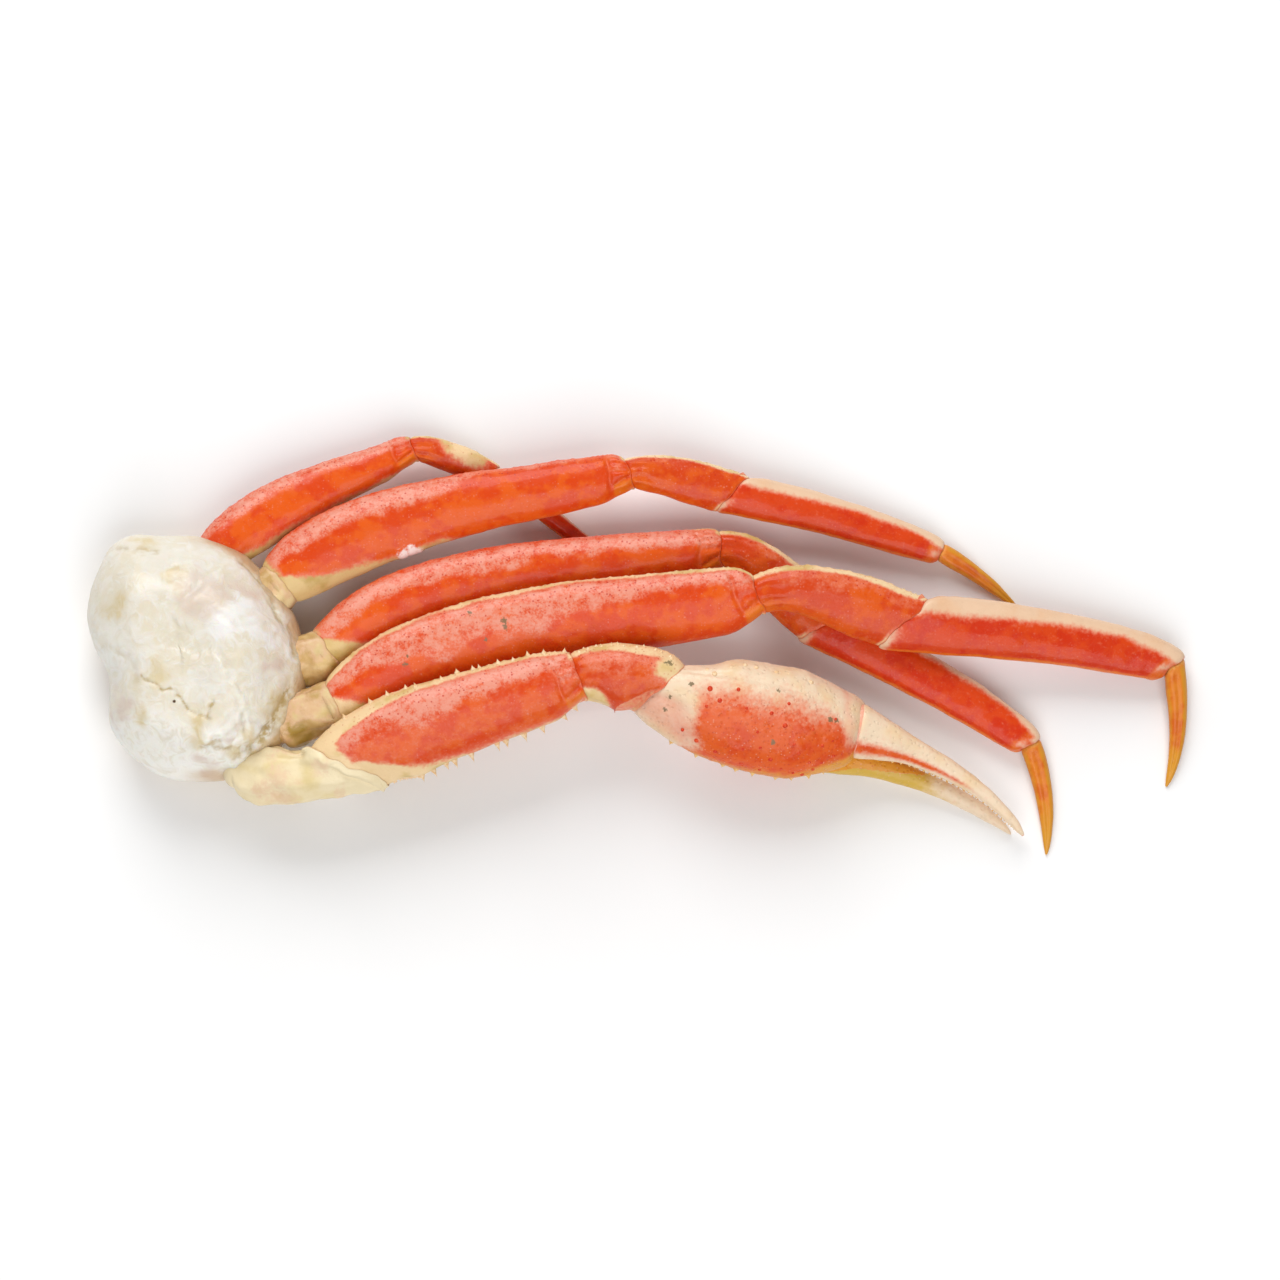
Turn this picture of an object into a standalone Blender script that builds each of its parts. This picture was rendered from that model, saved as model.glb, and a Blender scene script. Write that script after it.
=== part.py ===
"""Boiled snow crab leg cluster: a claw arm and four walking legs on their shoulder of white meat.

Run it with: blender --background --python part.py
It lies on z = 0 with its legs towards +X. Every length in the tables is in millimetres and is
made metres when a mesh is written. Each limb is a chain of hard shells. A shell starts in a narrow
neck that sits in the socket of the shell before it, so the joints show as a thin gap.
"""

import math
from collections import namedtuple

import bmesh
import bpy
import numpy as np

MM = 0.001
FRAME_SHIFT = (0.44, 1.88)  # moves the cluster so that its box is centred on the origin

# ---- how shells meet ------------------------------------------------------------------------
GAP = 0.35  # air between a neck and its socket
SOCKET_DEPTH = 2.2
NECK_CHAMFER = 0.5
HANDLE = 0.32  # reach of a centreline's Bezier handles, as a share of the chord
TURN_LENGTH = 20.0  # length over which a shell's rings turn into the plane of a joint
MOST_TURN = 0.66  # the same, as the largest share of a short shell

# ---- the limbs ------------------------------------------------------------------------------
# place: the joint's centre. roll: how far the shell leans over, towards +Y up, in degrees.
# skew: turn of the joint's plane from the mitre between its two shells, in degrees.
# neck: half width and half thickness of the neck that passes through the joint.
Joint = namedtuple("Joint", "place roll skew neck")

# arch: how far the centreline leaves its chord at the near and the far end, in degrees.
# width, depth: half width and half thickness at each share of the length.
# power: 2 is an ellipse, and more is boxier. sag: how far its middle lies below the centreline.
Shell = namedtuple("Shell", "name arch share width depth power around material sag", defaults=(None,))

WALKING_SHARE = (0.0, 0.04, 0.10, 0.22, 0.40, 0.58, 0.75, 0.88, 0.95, 1.0)
SHORT_SHARE = (0.0, 0.10, 0.28, 0.50, 0.75, 1.0)
LONG_SHARE = (0.0, 0.04, 0.14, 0.35, 0.60, 0.82, 1.0)
CLAW_TIP_SHARE = (0.0, 0.12, 0.28, 0.46, 0.64, 0.80, 0.92, 1.0)
BASE_SHARE = (0.0, 0.35, 0.7, 1.0)

LIMBS = {
    "leg_2": (
        [
            Joint((-90.0, -22.6, 14.5), 10, 0, (5.4, 4.0)),
            Joint((-75.6, -18.0, 16.4), 20, 0, (5.2, 3.8)),
            Joint((28.7, 8.9, 19.0), 18, 6, (4.2, 3.0)),
            Joint((65.3, 2.5, 14.5), 8, -36, (5.6, 2.8)),
            Joint((133.1, -7.1, 5.4), 0, 0, (2.3, 1.7)),
            Joint((131.8, -37.3, 0.3), 0, 0, None),
        ],
        [
            Shell("base", (0, 0), BASE_SHARE, (6.2, 6.4, 6.6, 6.6), (4.9, 5.2, 5.2, 5.0), 2.2, 14, "cream"),
            Shell("merus", (24, -4), WALKING_SHARE,
                  (6.4, 7.4, 8.5, 9.6, 10.0, 10.1, 9.4, 8.7, 8.1, 6.8),
                  (4.8, 5.2, 5.5, 5.6, 5.6, 5.5, 5.3, 5.0, 4.7, 4.4), 2.15, 16, "shell"),
            Shell("carpus", (32, -10), SHORT_SHARE, (4.9, 5.2, 6.1, 7.1, 8.0, 7.6),
                  (3.9, 4.1, 4.3, 4.4, 4.3, 4.0), 2.2, 14, "shell"),
            Shell("propodus", (6, -9), LONG_SHARE, (6.9, 7.2, 7.4, 7.1, 6.6, 5.9, 4.9),
                  (3.7, 3.9, 4.0, 4.0, 3.8, 3.5, 3.1), 2.4, 14, "shell"),
            Shell("dactyl", (16, -18), CLAW_TIP_SHARE,
                  (2.9, 2.9, 2.6, 2.2, 1.8, 1.3, 0.8, 0.25),
                  (2.2, 2.3, 2.1, 1.8, 1.5, 1.1, 0.7, 0.3), 2.0, 12, "tip"),
        ],
    ),
    "leg_3": (
        [
            Joint((-91.0, -9.4, 13.0), 10, 0, (5.0, 3.8)),
            Joint((-78.3, -4.2, 13.2), 20, 0, (4.8, 3.5)),
            Joint((19.7, 21.2, 9.8), 14, 8, (3.7, 2.8)),
            Joint((44.8, 2.7, 7.5), 4, -24, (4.8, 2.5)),
            Joint((97.5, -27.0, 3.8), 0, 0, (2.1, 1.6)),
            Joint((101.5, -54.4, 0.3), 0, 0, None),
        ],
        [
            Shell("base", (0, 0), BASE_SHARE, (6.6, 6.6, 6.5, 6.3), (4.7, 5.0, 5.0, 4.8), 2.2, 14, "cream"),
            Shell("merus", (27, -4), WALKING_SHARE,
                  (6.0, 7.0, 7.9, 8.6, 8.5, 8.1, 7.5, 6.9, 6.4, 5.8),
                  (4.5, 4.9, 5.1, 5.2, 5.2, 5.1, 4.9, 4.7, 4.5, 4.2), 2.15, 16, "shell"),
            Shell("carpus", (24, -12), SHORT_SHARE, (4.7, 5.3, 6.2, 6.7, 7.0, 6.4),
                  (3.7, 3.8, 3.9, 3.9, 3.8, 3.6), 2.2, 12, "shell"),
            Shell("propodus", (7, -7), LONG_SHARE, (5.7, 6.0, 6.2, 6.0, 5.6, 5.0, 4.2),
                  (3.4, 3.5, 3.6, 3.6, 3.5, 3.3, 3.0), 2.4, 14, "shell"),
            Shell("dactyl", (14, -13), CLAW_TIP_SHARE,
                  (2.6, 2.7, 2.5, 2.2, 1.8, 1.3, 0.8, 0.25),
                  (2.1, 2.2, 2.0, 1.8, 1.5, 1.1, 0.7, 0.3), 2.0, 12, "tip"),
        ],
    ),
    "leg_4": (
        [
            Joint((-99.5, 3.6, 12.5), 6, 0, (4.8, 3.8)),
            Joint((-90.2, 12.6, 13.0), 12, 0, (4.8, 3.6)),
            Joint((-3.2, 40.2, 13.0), 8, 8, (3.4, 2.7)),
            Joint((22.7, 35.7, 9.5), 4, -34, (4.0, 2.2)),
            Joint((75.3, 21.6, 4.0), 0, 0, (1.9, 1.4)),
            Joint((95.0, 7.4, 0.3), 0, 0, None),
        ],
        [
            Shell("base", (0, 0), BASE_SHARE, (5.8, 6.2, 6.3, 6.2), (4.6, 5.0, 5.0, 4.8), 2.2, 14, "cream"),
            Shell("merus", (24, -5), WALKING_SHARE,
                  (6.2, 7.6, 8.6, 9.1, 8.5, 7.6, 6.9, 6.3, 5.9, 5.4),
                  (4.6, 5.0, 5.2, 5.3, 5.2, 5.0, 4.7, 4.4, 4.2, 3.9), 2.15, 16, "shell"),
            Shell("carpus", (15, -6), SHORT_SHARE, (3.9, 4.3, 4.9, 5.4, 5.6, 5.4),
                  (3.3, 3.4, 3.5, 3.5, 3.4, 3.2), 2.2, 12, "shell"),
            Shell("propodus", (5, -5), LONG_SHARE, (4.8, 5.1, 5.3, 5.1, 4.8, 4.3, 3.5),
                  (2.9, 3.1, 3.2, 3.2, 3.1, 2.9, 2.5), 2.4, 14, "shell"),
            Shell("dactyl", (8, -8), CLAW_TIP_SHARE,
                  (2.3, 2.4, 2.2, 1.9, 1.6, 1.1, 0.7, 0.25),
                  (1.8, 1.9, 1.8, 1.6, 1.3, 1.0, 0.6, 0.3), 2.0, 12, "tip"),
        ],
    ),
    "leg_5": (
        [
            Joint((-110.5, 10.5, 12.0), 4, 0, (4.4, 3.4)),
            Joint((-107.0, 19.0, 12.0), 6, 0, (4.3, 3.1)),
            Joint((-57.5, 46.9, 8.5), 4, 5, (2.8, 2.2)),
            Joint((-37.5, 40.7, 5.0), 2, -20, (2.3, 1.6)),
            Joint((-9.2, 19.8, 2.4), 0, 0, (1.3, 1.0)),
            Joint((11.9, 6.9, 0.3), 0, 0, None),
        ],
        [
            Shell("base", (0, 0), BASE_SHARE, (5.0, 5.4, 5.6, 5.6), (4.0, 4.2, 4.2, 4.2), 2.2, 12, "cream"),
            Shell("merus", (20, -4), WALKING_SHARE,
                  (5.6, 6.1, 6.6, 7.0, 6.9, 6.0, 5.2, 4.6, 4.3, 4.0),
                  (4.1, 4.2, 4.3, 4.2, 4.0, 3.8, 3.6, 3.4, 3.3, 3.2), 2.15, 12, "shell"),
            Shell("carpus", (22, -6), SHORT_SHARE, (3.1, 3.4, 3.8, 3.9, 3.7, 3.3),
                  (2.6, 2.7, 2.7, 2.6, 2.5, 2.3), 2.2, 10, "shell"),
            Shell("propodus", (3, -3), LONG_SHARE, (2.7, 2.7, 2.6, 2.4, 2.3, 2.2, 2.0),
                  (2.2, 2.2, 2.2, 2.1, 2.0, 1.9, 1.7), 2.3, 10, "shell"),
            Shell("dactyl", (6, -8), CLAW_TIP_SHARE,
                  (1.5, 1.6, 1.5, 1.3, 1.1, 0.8, 0.5, 0.2),
                  (1.2, 1.3, 1.2, 1.1, 0.9, 0.7, 0.5, 0.3), 2.0, 10, "tip"),
        ],
    ),
    "claw": (
        [
            Joint((-100.5, -36.5, 14.5), 8, 0, (5.6, 4.6)),
            Joint((-72.1, -33.3, 19.6), 17, 38, (6.6, 4.0)),
            Joint((-15.7, -12.1, 24.6), 18, 8, (4.7, 3.8)),
            Joint((4.2, -14.5, 22.6), 18, -25, (5.4, 4.0)),
            Joint((54.0, -24.5, 14.4), 14, 4, (5.0, 3.4)),
            Joint((95.4, -49.9, 4.6), 10, 0, None),
        ],
        [
            Shell("base", (-6, 10), BASE_SHARE, (7.8, 7.2, 6.6, 9.4), (5.2, 5.6, 5.6, 5.4), 2.2, 14, "cream"),
            Shell("merus", (14, -2), WALKING_SHARE,
                  (9.4, 9.9, 10.5, 11.0, 10.4, 9.8, 9.2, 8.7, 7.9, 6.9),
                  (5.3, 5.7, 6.1, 6.5, 6.6, 6.6, 6.4, 6.1, 5.8, 5.3), 2.15, 16, "shell"),
            Shell("carpus", (14, -18), SHORT_SHARE, (6.1, 6.5, 7.5, 8.6, 9.1, 8.2),
                  (4.9, 5.3, 6.2, 6.8, 6.7, 6.0), 2.2, 14, "shell"),
            Shell("palm", (-11, 7), (0.0, 0.1, 0.3, 0.5, 0.66, 0.8, 0.92, 1.0),
                  (7.8, 9.7, 12.8, 13.9, 13.9, 12.0, 9.7, 8.4),
                  (5.8, 6.8, 8.8, 9.7, 9.8, 9.2, 8.4, 7.8), 2.15, 18, "palm",
                  (0.0, 0.0, 0.2, 0.6, 1.1, 1.8, 2.4, 2.8)),
            Shell("finger", (15, -24), CLAW_TIP_SHARE,
                  (6.9, 5.4, 3.7, 2.7, 2.0, 1.5, 1.1, 0.3),
                  (4.6, 3.8, 2.9, 2.3, 1.8, 1.4, 1.0, 0.3), 2.1, 14, "palm"),
        ],
    ),
}

# The palm's own, fixed finger: a tapered horn that starts inside the palm.
FIXED_FINGER_ENDS = ((42.0, -28.6, 8.4), (92.7, -49.3, 0.4))
FIXED_FINGER = Shell("fixed", (11, -20), CLAW_TIP_SHARE,
                     (5.4, 4.6, 3.4, 2.7, 2.3, 2.0, 1.3, 0.35),
                     (4.6, 3.5, 2.6, 2.4, 2.1, 1.8, 1.2, 0.4), 2.1, 12, "palm")

# ---- thorns: (share of length, angle round the shell from its +Y edge, height) ---------------
THORN_SIDES = 6
THORN_SINK = 0.8  # how deep a thorn's foot is sunk in the shell
THORN_FOOT, THORN_SPREAD, THORN_TIP = 0.75, 0.12, 0.15  # radius of its foot, its growth with height, radius of its tip
CLAW_MERUS_LOWER = [(0.26 + 0.082 * i, 184 + 5 * (i % 2), 1.7 - 0.1 * (i % 3)) for i in range(9)]
CLAW_MERUS_UPPER = [(0.16 + 0.088 * i, 4 - 8 * (i % 2), 1.2 - 0.1 * (i % 3)) for i in range(9)]
CLAW_PALM_LOWER = [(0.30 + 0.085 * i, 182 + 6 * (i % 2), 0.9) for i in range(7)]
CLAW_PALM_FACE = [(0.22 + 0.11 * i, 55 + 26 * ((i * 2) % 3), 0.55) for i in range(6)]
THORNS = {
    "claw_merus": CLAW_MERUS_LOWER + CLAW_MERUS_UPPER,
    "claw_palm": CLAW_PALM_LOWER + CLAW_PALM_FACE,
}

# ---- the shoulder ---------------------------------------------------------------------------
SHOULDER_CENTRE = (-110.7, -9.6)
# Its outline's radius every 15 degrees, anticlockwise from +X.
SHOULDER_RADII = (
    27.3, 27.4, 27.9, 28.3, 30.2, 32.4, 33.8, 35.2, 38.2, 35.4, 31.6, 26.6,
    22.5, 22.8, 25.4, 26.3, 26.8, 27.5, 27.4, 28.0, 28.4, 27.8, 27.5, 27.3,
)
SHOULDER_AROUND = 48
SEAT_AROUND = 16
WIDEST_HEIGHT = 13.0
FLAT_SHARE = 0.62  # the flat spot it rests on, as a share of its outline
# Shares of the outline at which there is a ring, up from the widest line to the top.
TOP_SHARES = (0.985, 0.94, 0.86, 0.75, 0.62, 0.47, 0.31, 0.15)
TOP_RISE = 17.0
TOP_POWER, TOP_ROUNDNESS = 2.6, 1.7
# Soft lobes of the meat: x and y from its centre, reach and height.
LOBES = (
    (-17.0, 19.0, 9.0, 4.2),
    (-2.0, 20.0, 8.0, 2.4),
    (11.0, 13.0, 8.0, 3.2),
    (14.0, -2.0, 7.0, 3.0),
    (-14.0, 3.0, 7.0, 2.6),
    (-13.0, -13.0, 8.0, 3.0),
    (5.0, -18.0, 7.0, 3.4),
    (17.0, -15.0, 6.0, 2.0),
    (-5.0, 8.0, 5.0, -2.2),
    (1.0, -7.0, 4.5, -2.6),
    (8.0, 5.0, 4.0, -1.6),
)
BREASTPLATE_RIM = 5.6
BREASTPLATE_WALL = 1.3

COLOURS = {
    "cream": (0.80, 0.66, 0.38, 1.0),
    "shell": (0.82, 0.16, 0.04, 1.0),
    "tip": (0.75, 0.35, 0.05, 1.0),
    "palm": (0.84, 0.42, 0.27, 1.0),
    "meat": (0.86, 0.83, 0.74, 1.0),
}


def clear_scene():
    """Empties the startup scene."""
    for obj in list(bpy.data.objects):
        bpy.data.objects.remove(obj)


def make_material(name):
    """A glossy Principled material in one of the crab's colours."""
    made = bpy.data.materials.new(name)
    made.use_nodes = True
    shader = made.node_tree.nodes["Principled BSDF"]
    shader.inputs["Base Color"].default_value = COLOURS[name]
    shader.inputs["Roughness"].default_value = 0.35
    shader.inputs["Metallic"].default_value = 0.0
    made.diffuse_color = COLOURS[name]
    return made


def make_collection(name):
    made = bpy.data.collections.new(name)
    bpy.context.scene.collection.children.link(made)
    return made


# ---- lines and sections ---------------------------------------------------------------------
def unit(vector):
    return vector / np.linalg.norm(vector)


def turned(vector, degrees):
    """The vector turned about +Z."""
    c, s = math.cos(math.radians(degrees)), math.sin(math.radians(degrees))
    return np.array([c * vector[0] - s * vector[1], s * vector[0] + c * vector[1], vector[2]])


def centreline(start, end, arch, share):
    """Points and directions of a cubic Bezier at each share of its parameter."""
    start, end = np.array(start), np.array(end)
    chord = end - start
    near = start + HANDLE * turned(chord, arch[0])
    far = end - HANDLE * turned(chord, arch[1])
    t = np.array(share)[:, None]
    points = (1 - t) ** 3 * start + 3 * t * (1 - t) ** 2 * near + 3 * t**2 * (1 - t) * far + t**3 * end
    slope = (1 - t) ** 2 * (near - start) + 2 * t * (1 - t) * (far - near) + t**2 * (end - far)
    return points, slope / np.linalg.norm(slope, axis=1)[:, None]


def within(vector, normal):
    """The part of a vector that lies in the plane of a normal."""
    return np.array(vector) - (normal @ vector) * normal


def sag_at(shell, share):
    return np.interp(share, shell.share, shell.sag) if shell.sag else 0.0


def section(centre, normal, roll, width, depth, power, around):
    """A superellipse ring square to the normal. Its first point is on the +Y edge."""
    level = unit(np.cross((0.0, 0.0, 1.0), normal))
    up = np.cross(normal, level)
    c, s = math.cos(math.radians(roll)), math.sin(math.radians(roll))
    across, out = c * level + s * up, c * up - s * level
    angle = np.linspace(0, 2 * math.pi, around, endpoint=False)
    x = width * np.sign(np.cos(angle)) * np.abs(np.cos(angle)) ** (2 / power)
    y = depth * np.sign(np.sin(angle)) * np.abs(np.sin(angle)) ** (2 / power)
    return np.array(centre) + np.outer(x, across) + np.outer(y, out)


def joint_normals(joints, shells):
    """The direction in which a limb passes through each joint's plane."""
    leaving, arriving = [], []
    for shell, start, end in zip(shells, joints, joints[1:]):
        _, slopes = centreline(start.place, end.place, shell.arch, (0.0, 1.0))
        leaving.append(slopes[0])
        arriving.append(slopes[1])
    normals = [leaving[0]]
    for before, after, joint in zip(arriving, leaving[1:], joints[1:]):
        normals.append(turned(unit(before + after), joint.skew))
    return normals + [arriving[-1]]


def shell_rings(shell, start, end, start_normal, end_normal):
    """Rings of a shell's outside, from the plane of one joint to the plane of the next."""
    points, slopes = centreline(start.place, end.place, shell.arch, shell.share)
    turn = min(MOST_TURN, TURN_LENGTH / math.dist(start.place, end.place))
    rings = []
    for t, point, slope, width, depth in zip(shell.share, points, slopes, shell.width, shell.depth):
        near, far = max(0.0, 1 - t / turn), max(0.0, 1 - (1 - t) / turn)
        near, far = near * near * (3 - 2 * near), far * far * (3 - 2 * far)
        normal = unit(near * start_normal + far * end_normal + (1 - near - far) * slope)
        roll = start.roll + (end.roll - start.roll) * t
        stretch = 1 / abs(normal @ slope)
        middle = point - sag_at(shell, t) * within((0.0, 0.0, 1.0), normal)
        rings.append(section(middle, normal, roll, width * stretch, depth, shell.power, shell.around))
    return rings


def neck_rings(joint, normal, shell):
    """The neck that starts inside the socket before it and comes out just past the joint."""
    (width, depth), place = joint.neck, np.array(joint.place)
    tucked, full = GAP - SOCKET_DEPTH, GAP - SOCKET_DEPTH + NECK_CHAMFER
    steps = ((tucked, NECK_CHAMFER), (full, 0.0), (GAP, 0.0))
    return [
        section(place + along * normal, normal, joint.roll, width - less, depth - less, shell.power, shell.around)
        for along, less in steps
    ]


def socket_rings(joint, normal, shell):
    """The hollow in a shell's far end that the next neck sits in."""
    width, depth = joint.neck[0] + GAP, joint.neck[1] + GAP
    place = np.array(joint.place)
    return [
        section(place - along * normal, normal, joint.roll, width, depth, shell.power, shell.around)
        for along in (0.0, SOCKET_DEPTH)
    ]


# ---- meshes ---------------------------------------------------------------------------------
def grounded(rings):
    """Nothing reaches below the table, so what would is flattened on it."""
    for ring in rings:
        ring[:, 2] = np.maximum(ring[:, 2], 0.0)
    return rings


def loft(name, rings, material, collection):
    """A closed mesh through rings of equal count, with a fan over each end."""
    mesh = bmesh.new()
    shift = np.array([*FRAME_SHIFT, 0.0])
    rows = [[mesh.verts.new((point + shift) * MM) for point in ring] for ring in rings]
    for low, high in zip(rows, rows[1:]):
        for i in range(len(low)):
            j = (i + 1) % len(low)
            mesh.faces.new((low[i], low[j], high[j], high[i]))
    for row, ring, turn in ((rows[0], rings[0], -1), (rows[-1], rings[-1], 1)):
        middle = mesh.verts.new((ring.mean(axis=0) + shift) * MM)
        for i in range(len(row)):
            pair = (row[i], row[(i + 1) % len(row)])[::turn]
            mesh.faces.new((middle, *pair))
    bmesh.ops.triangulate(mesh, faces=[f for f in mesh.faces if len(f.verts) == 4])
    data = bpy.data.meshes.new(name)
    mesh.to_mesh(data)
    mesh.free()
    data.materials.append(material)
    data.shade_smooth()
    data.set_sharp_from_angle(angle=math.radians(40))
    obj = bpy.data.objects.new(name, data)
    collection.objects.link(obj)
    return obj


def applied(obj, modifier):
    """Bakes one modifier's result into the object's own mesh."""
    bpy.context.view_layer.update()
    graph = bpy.context.evaluated_depsgraph_get()
    data = bpy.data.meshes.new_from_object(obj.evaluated_get(graph))
    obj.modifiers.remove(modifier)
    old, obj.data = obj.data, data
    name = old.name
    bpy.data.meshes.remove(old)
    data.name = name


def join_all(obj, others, collection):
    """One Boolean union of the object with a collection of others, which are then removed."""
    union = obj.modifiers.new("join", "BOOLEAN")
    union.operation = "UNION"
    union.operand_type = "COLLECTION"
    union.collection = others
    applied(obj, union)
    for other in list(others.objects):
        bpy.data.objects.remove(other)
    bpy.data.collections.remove(others)


def thorn(name, foot, direction, height, material, collection):
    """A low six-sided cone whose foot is sunk in the shell."""
    mesh = bmesh.new()
    width = THORN_FOOT + THORN_SPREAD * height
    made = bmesh.ops.create_cone(
        mesh, cap_ends=True, segments=THORN_SIDES, radius1=width * MM, radius2=THORN_TIP * MM,
        depth=(height + THORN_SINK) * MM,
    )
    lift = (height - THORN_SINK) / 2
    turn = np.array([0.0, 0.0, 1.0])
    across = unit(np.cross((0.3, 0.2, 0.9), direction))
    along = np.cross(direction, across)
    for vertex in made["verts"]:
        x, y, z = vertex.co
        local = x * across + y * along + (z + lift * MM * turn[2]) * direction
        vertex.co = local + (foot + np.array([*FRAME_SHIFT, 0.0])) * MM
    data = bpy.data.meshes.new(name)
    mesh.to_mesh(data)
    mesh.free()
    data.materials.append(material)
    obj = bpy.data.objects.new(name, data)
    collection.objects.link(obj)
    return obj


def add_thorns(obj, shell, start, end, places, material):
    """Fuses a row of thorns to a shell, each square to its surface."""
    others = make_collection(obj.name + "_thorns")
    for index, (share, angle, height) in enumerate(places):
        (point,), (slope,) = centreline(start.place, end.place, shell.arch, (share,))
        width = np.interp(share, shell.share, shell.width)
        depth = np.interp(share, shell.share, shell.depth)
        roll = start.roll + (end.roll - start.roll) * share
        middle = point - sag_at(shell, share) * within((0.0, 0.0, 1.0), slope)
        ring = section(middle, slope, roll, width, depth, shell.power, 360)
        foot = ring[angle % 360]
        direction = unit(np.cross(ring[(angle + 3) % 360] - ring[(angle - 3) % 360], slope))
        thorn(f"thorn_{index}", foot, direction, height, material, others)
    join_all(obj, others, others)


# ---- limbs ----------------------------------------------------------------------------------
def make_limb(limb, materials, collection):
    """Every shell of one limb, from the shoulder to the tip."""
    joints, shells = LIMBS[limb]
    normals = joint_normals(joints, shells)
    for i, shell in enumerate(shells):
        start, end = joints[i], joints[i + 1]
        rings = shell_rings(shell, start, end, normals[i], normals[i + 1])
        if i > 0:
            rings[0] += GAP * normals[i]
            rings = neck_rings(start, normals[i], shell) + rings
        if end.neck:
            rings += socket_rings(end, normals[i + 1], shell)
        name = f"{limb}_{shell.name}"
        obj = loft(name, grounded(rings), materials[shell.material], collection)
        if shell.name == "palm":
            add_fixed_finger(obj, start, end, materials)
        if name in THORNS:
            add_thorns(obj, shell, start, end, THORNS[name], materials[shell.material])


def add_fixed_finger(palm, start, end, materials):
    """Fuses the horn of the fixed finger to the palm."""
    low, high = (Joint(place, end.roll, 0, None) for place in FIXED_FINGER_ENDS)
    _, (leaving, arriving) = centreline(low.place, high.place, FIXED_FINGER.arch, (0.0, 1.0))
    rings = shell_rings(FIXED_FINGER, low, high, leaving, arriving)
    others = make_collection("fixed_finger")
    loft("horn", grounded(rings), materials["palm"], others)
    join_all(palm, others, others)


# ---- shoulder -------------------------------------------------------------------------------
def shoulder_radius(angle):
    """The outline's radius, by a smooth closed curve through the named radii."""
    count = len(SHOULDER_RADII)
    spot = angle / (2 * math.pi) * count
    i = np.floor(spot).astype(int)
    f = spot - i
    before, low, high, after = (np.take(SHOULDER_RADII, (i + k) % count) for k in (-1, 0, 1, 2))
    bend = 2 * before - 5 * low + 4 * high - after + f * (3 * (low - high) + after - before)
    return low + 0.5 * f * (high - before + f * bend)


def shoulder_points(share, height, inset=0.0):
    """One ring at a share of the outline and a height above the table."""
    angle = np.linspace(0, 2 * math.pi, SHOULDER_AROUND, endpoint=False)
    radius = shoulder_radius(angle) * share - inset
    level = np.full_like(angle, height)
    x, y = radius * np.cos(angle), radius * np.sin(angle)
    return np.stack([x + SHOULDER_CENTRE[0], y + SHOULDER_CENTRE[1], level], axis=1)


def underside_ring(height, inset=0.0):
    """A ring of the rounded foot, between the flat spot and the widest line."""
    rise = height / WIDEST_HEIGHT
    share = FLAT_SHARE + (1 - FLAT_SHARE) * math.sqrt(1 - (1 - rise) ** 2)
    return shoulder_points(share, height, inset)


def top_ring(share):
    """A ring of the domed top, with its lobes."""
    ring = shoulder_points(share, 0.0)
    x, y = ring[:, 0] - SHOULDER_CENTRE[0], ring[:, 1] - SHOULDER_CENTRE[1]
    lobes = sum(rise * np.exp(-((x - u) ** 2 + (y - v) ** 2) / reach**2) for u, v, reach, rise in LOBES)
    dome = TOP_RISE * (1 - share**TOP_POWER) ** (1 / TOP_ROUNDNESS)
    ring[:, 2] = WIDEST_HEIGHT + dome + lobes * (1 - share**4)
    return ring


def make_breastplate(materials, collection):
    """The thin shell under the meat, a shallow bowl that lies flat on the table."""
    outside = [underside_ring(BREASTPLATE_RIM * rise) for rise in (0.0, 0.12, 0.4, 1.0)]
    inside = [underside_ring(BREASTPLATE_RIM * rise, BREASTPLATE_WALL) for rise in (1.0, 0.5, 0.12)]
    for ring in inside[1:]:
        ring[:, 2] += BREASTPLATE_WALL
    loft("breastplate", outside + inside, materials["cream"], collection)


def make_meat(materials, collection):
    """The lump of white meat, its foot let into the breastplate and a seat cut for each leg."""
    inset = BREASTPLATE_WALL + GAP
    rings = [underside_ring(BREASTPLATE_RIM * rise, inset) for rise in (0.12, 0.5, 1.0)]
    for ring in rings[:2]:
        ring[:, 2] += inset
    rings[2][:, 2] += GAP
    rings.append(underside_ring(BREASTPLATE_RIM + GAP))
    rings += [underside_ring(9.0), shoulder_points(1.0, WIDEST_HEIGHT)]
    rings += [top_ring(share) for share in TOP_SHARES]
    meat = loft("shoulder_meat", rings, materials["meat"], collection)
    for limb, (joints, shells) in LIMBS.items():
        cutter = loft(f"seat_{limb}", seat_rings(joints, shells), materials["cream"], collection)
        cutter.hide_render = True
        cutter.display_type = "WIRE"
        cut = meat.modifiers.new(f"seat_{limb}", "BOOLEAN")
        cut.operation = "DIFFERENCE"
        cut.object = cutter


def seat_rings(joints, shells):
    """A limb's base and the near part of its next shell, both made larger by the gap."""
    normals = joint_normals(joints, shells)
    behind = joints[0]._replace(place=tuple(np.array(joints[0].place) - GAP * normals[0]))
    wider = [
        shell._replace(
            width=tuple(w + GAP for w in shell.width), depth=tuple(d + GAP for d in shell.depth), around=SEAT_AROUND
        )
        for shell in shells[:2]
    ]
    base = shell_rings(wider[0], behind, joints[1], normals[0], normals[1])
    beyond = shell_rings(wider[1], joints[1], joints[2], normals[1], normals[2])
    return base + beyond[1:5]


def main():
    clear_scene()
    materials = {name: make_material(name) for name in COLOURS}
    cluster = make_collection("snow_crab_cluster")
    for limb in LIMBS:
        make_limb(limb, materials, cluster)
    make_breastplate(materials, cluster)
    make_meat(materials, cluster)


main()
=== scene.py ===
# %% [markdown]
# # A boiled snow crab cluster
#
# Half a crab as a kitchen serves it: one claw arm and four walking legs, still held by their shoulder
# of white meat. The imported solids give every place and size. This script dresses them: each hard
# shell is remade as a fine surface with its joints, beads and thorns, and painted by nodes.
#
# It starts with the imported model, whose box is kept: the camera aims at its middle, and it is printed at
# the end.

import math
from collections import namedtuple
from functools import reduce

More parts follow.
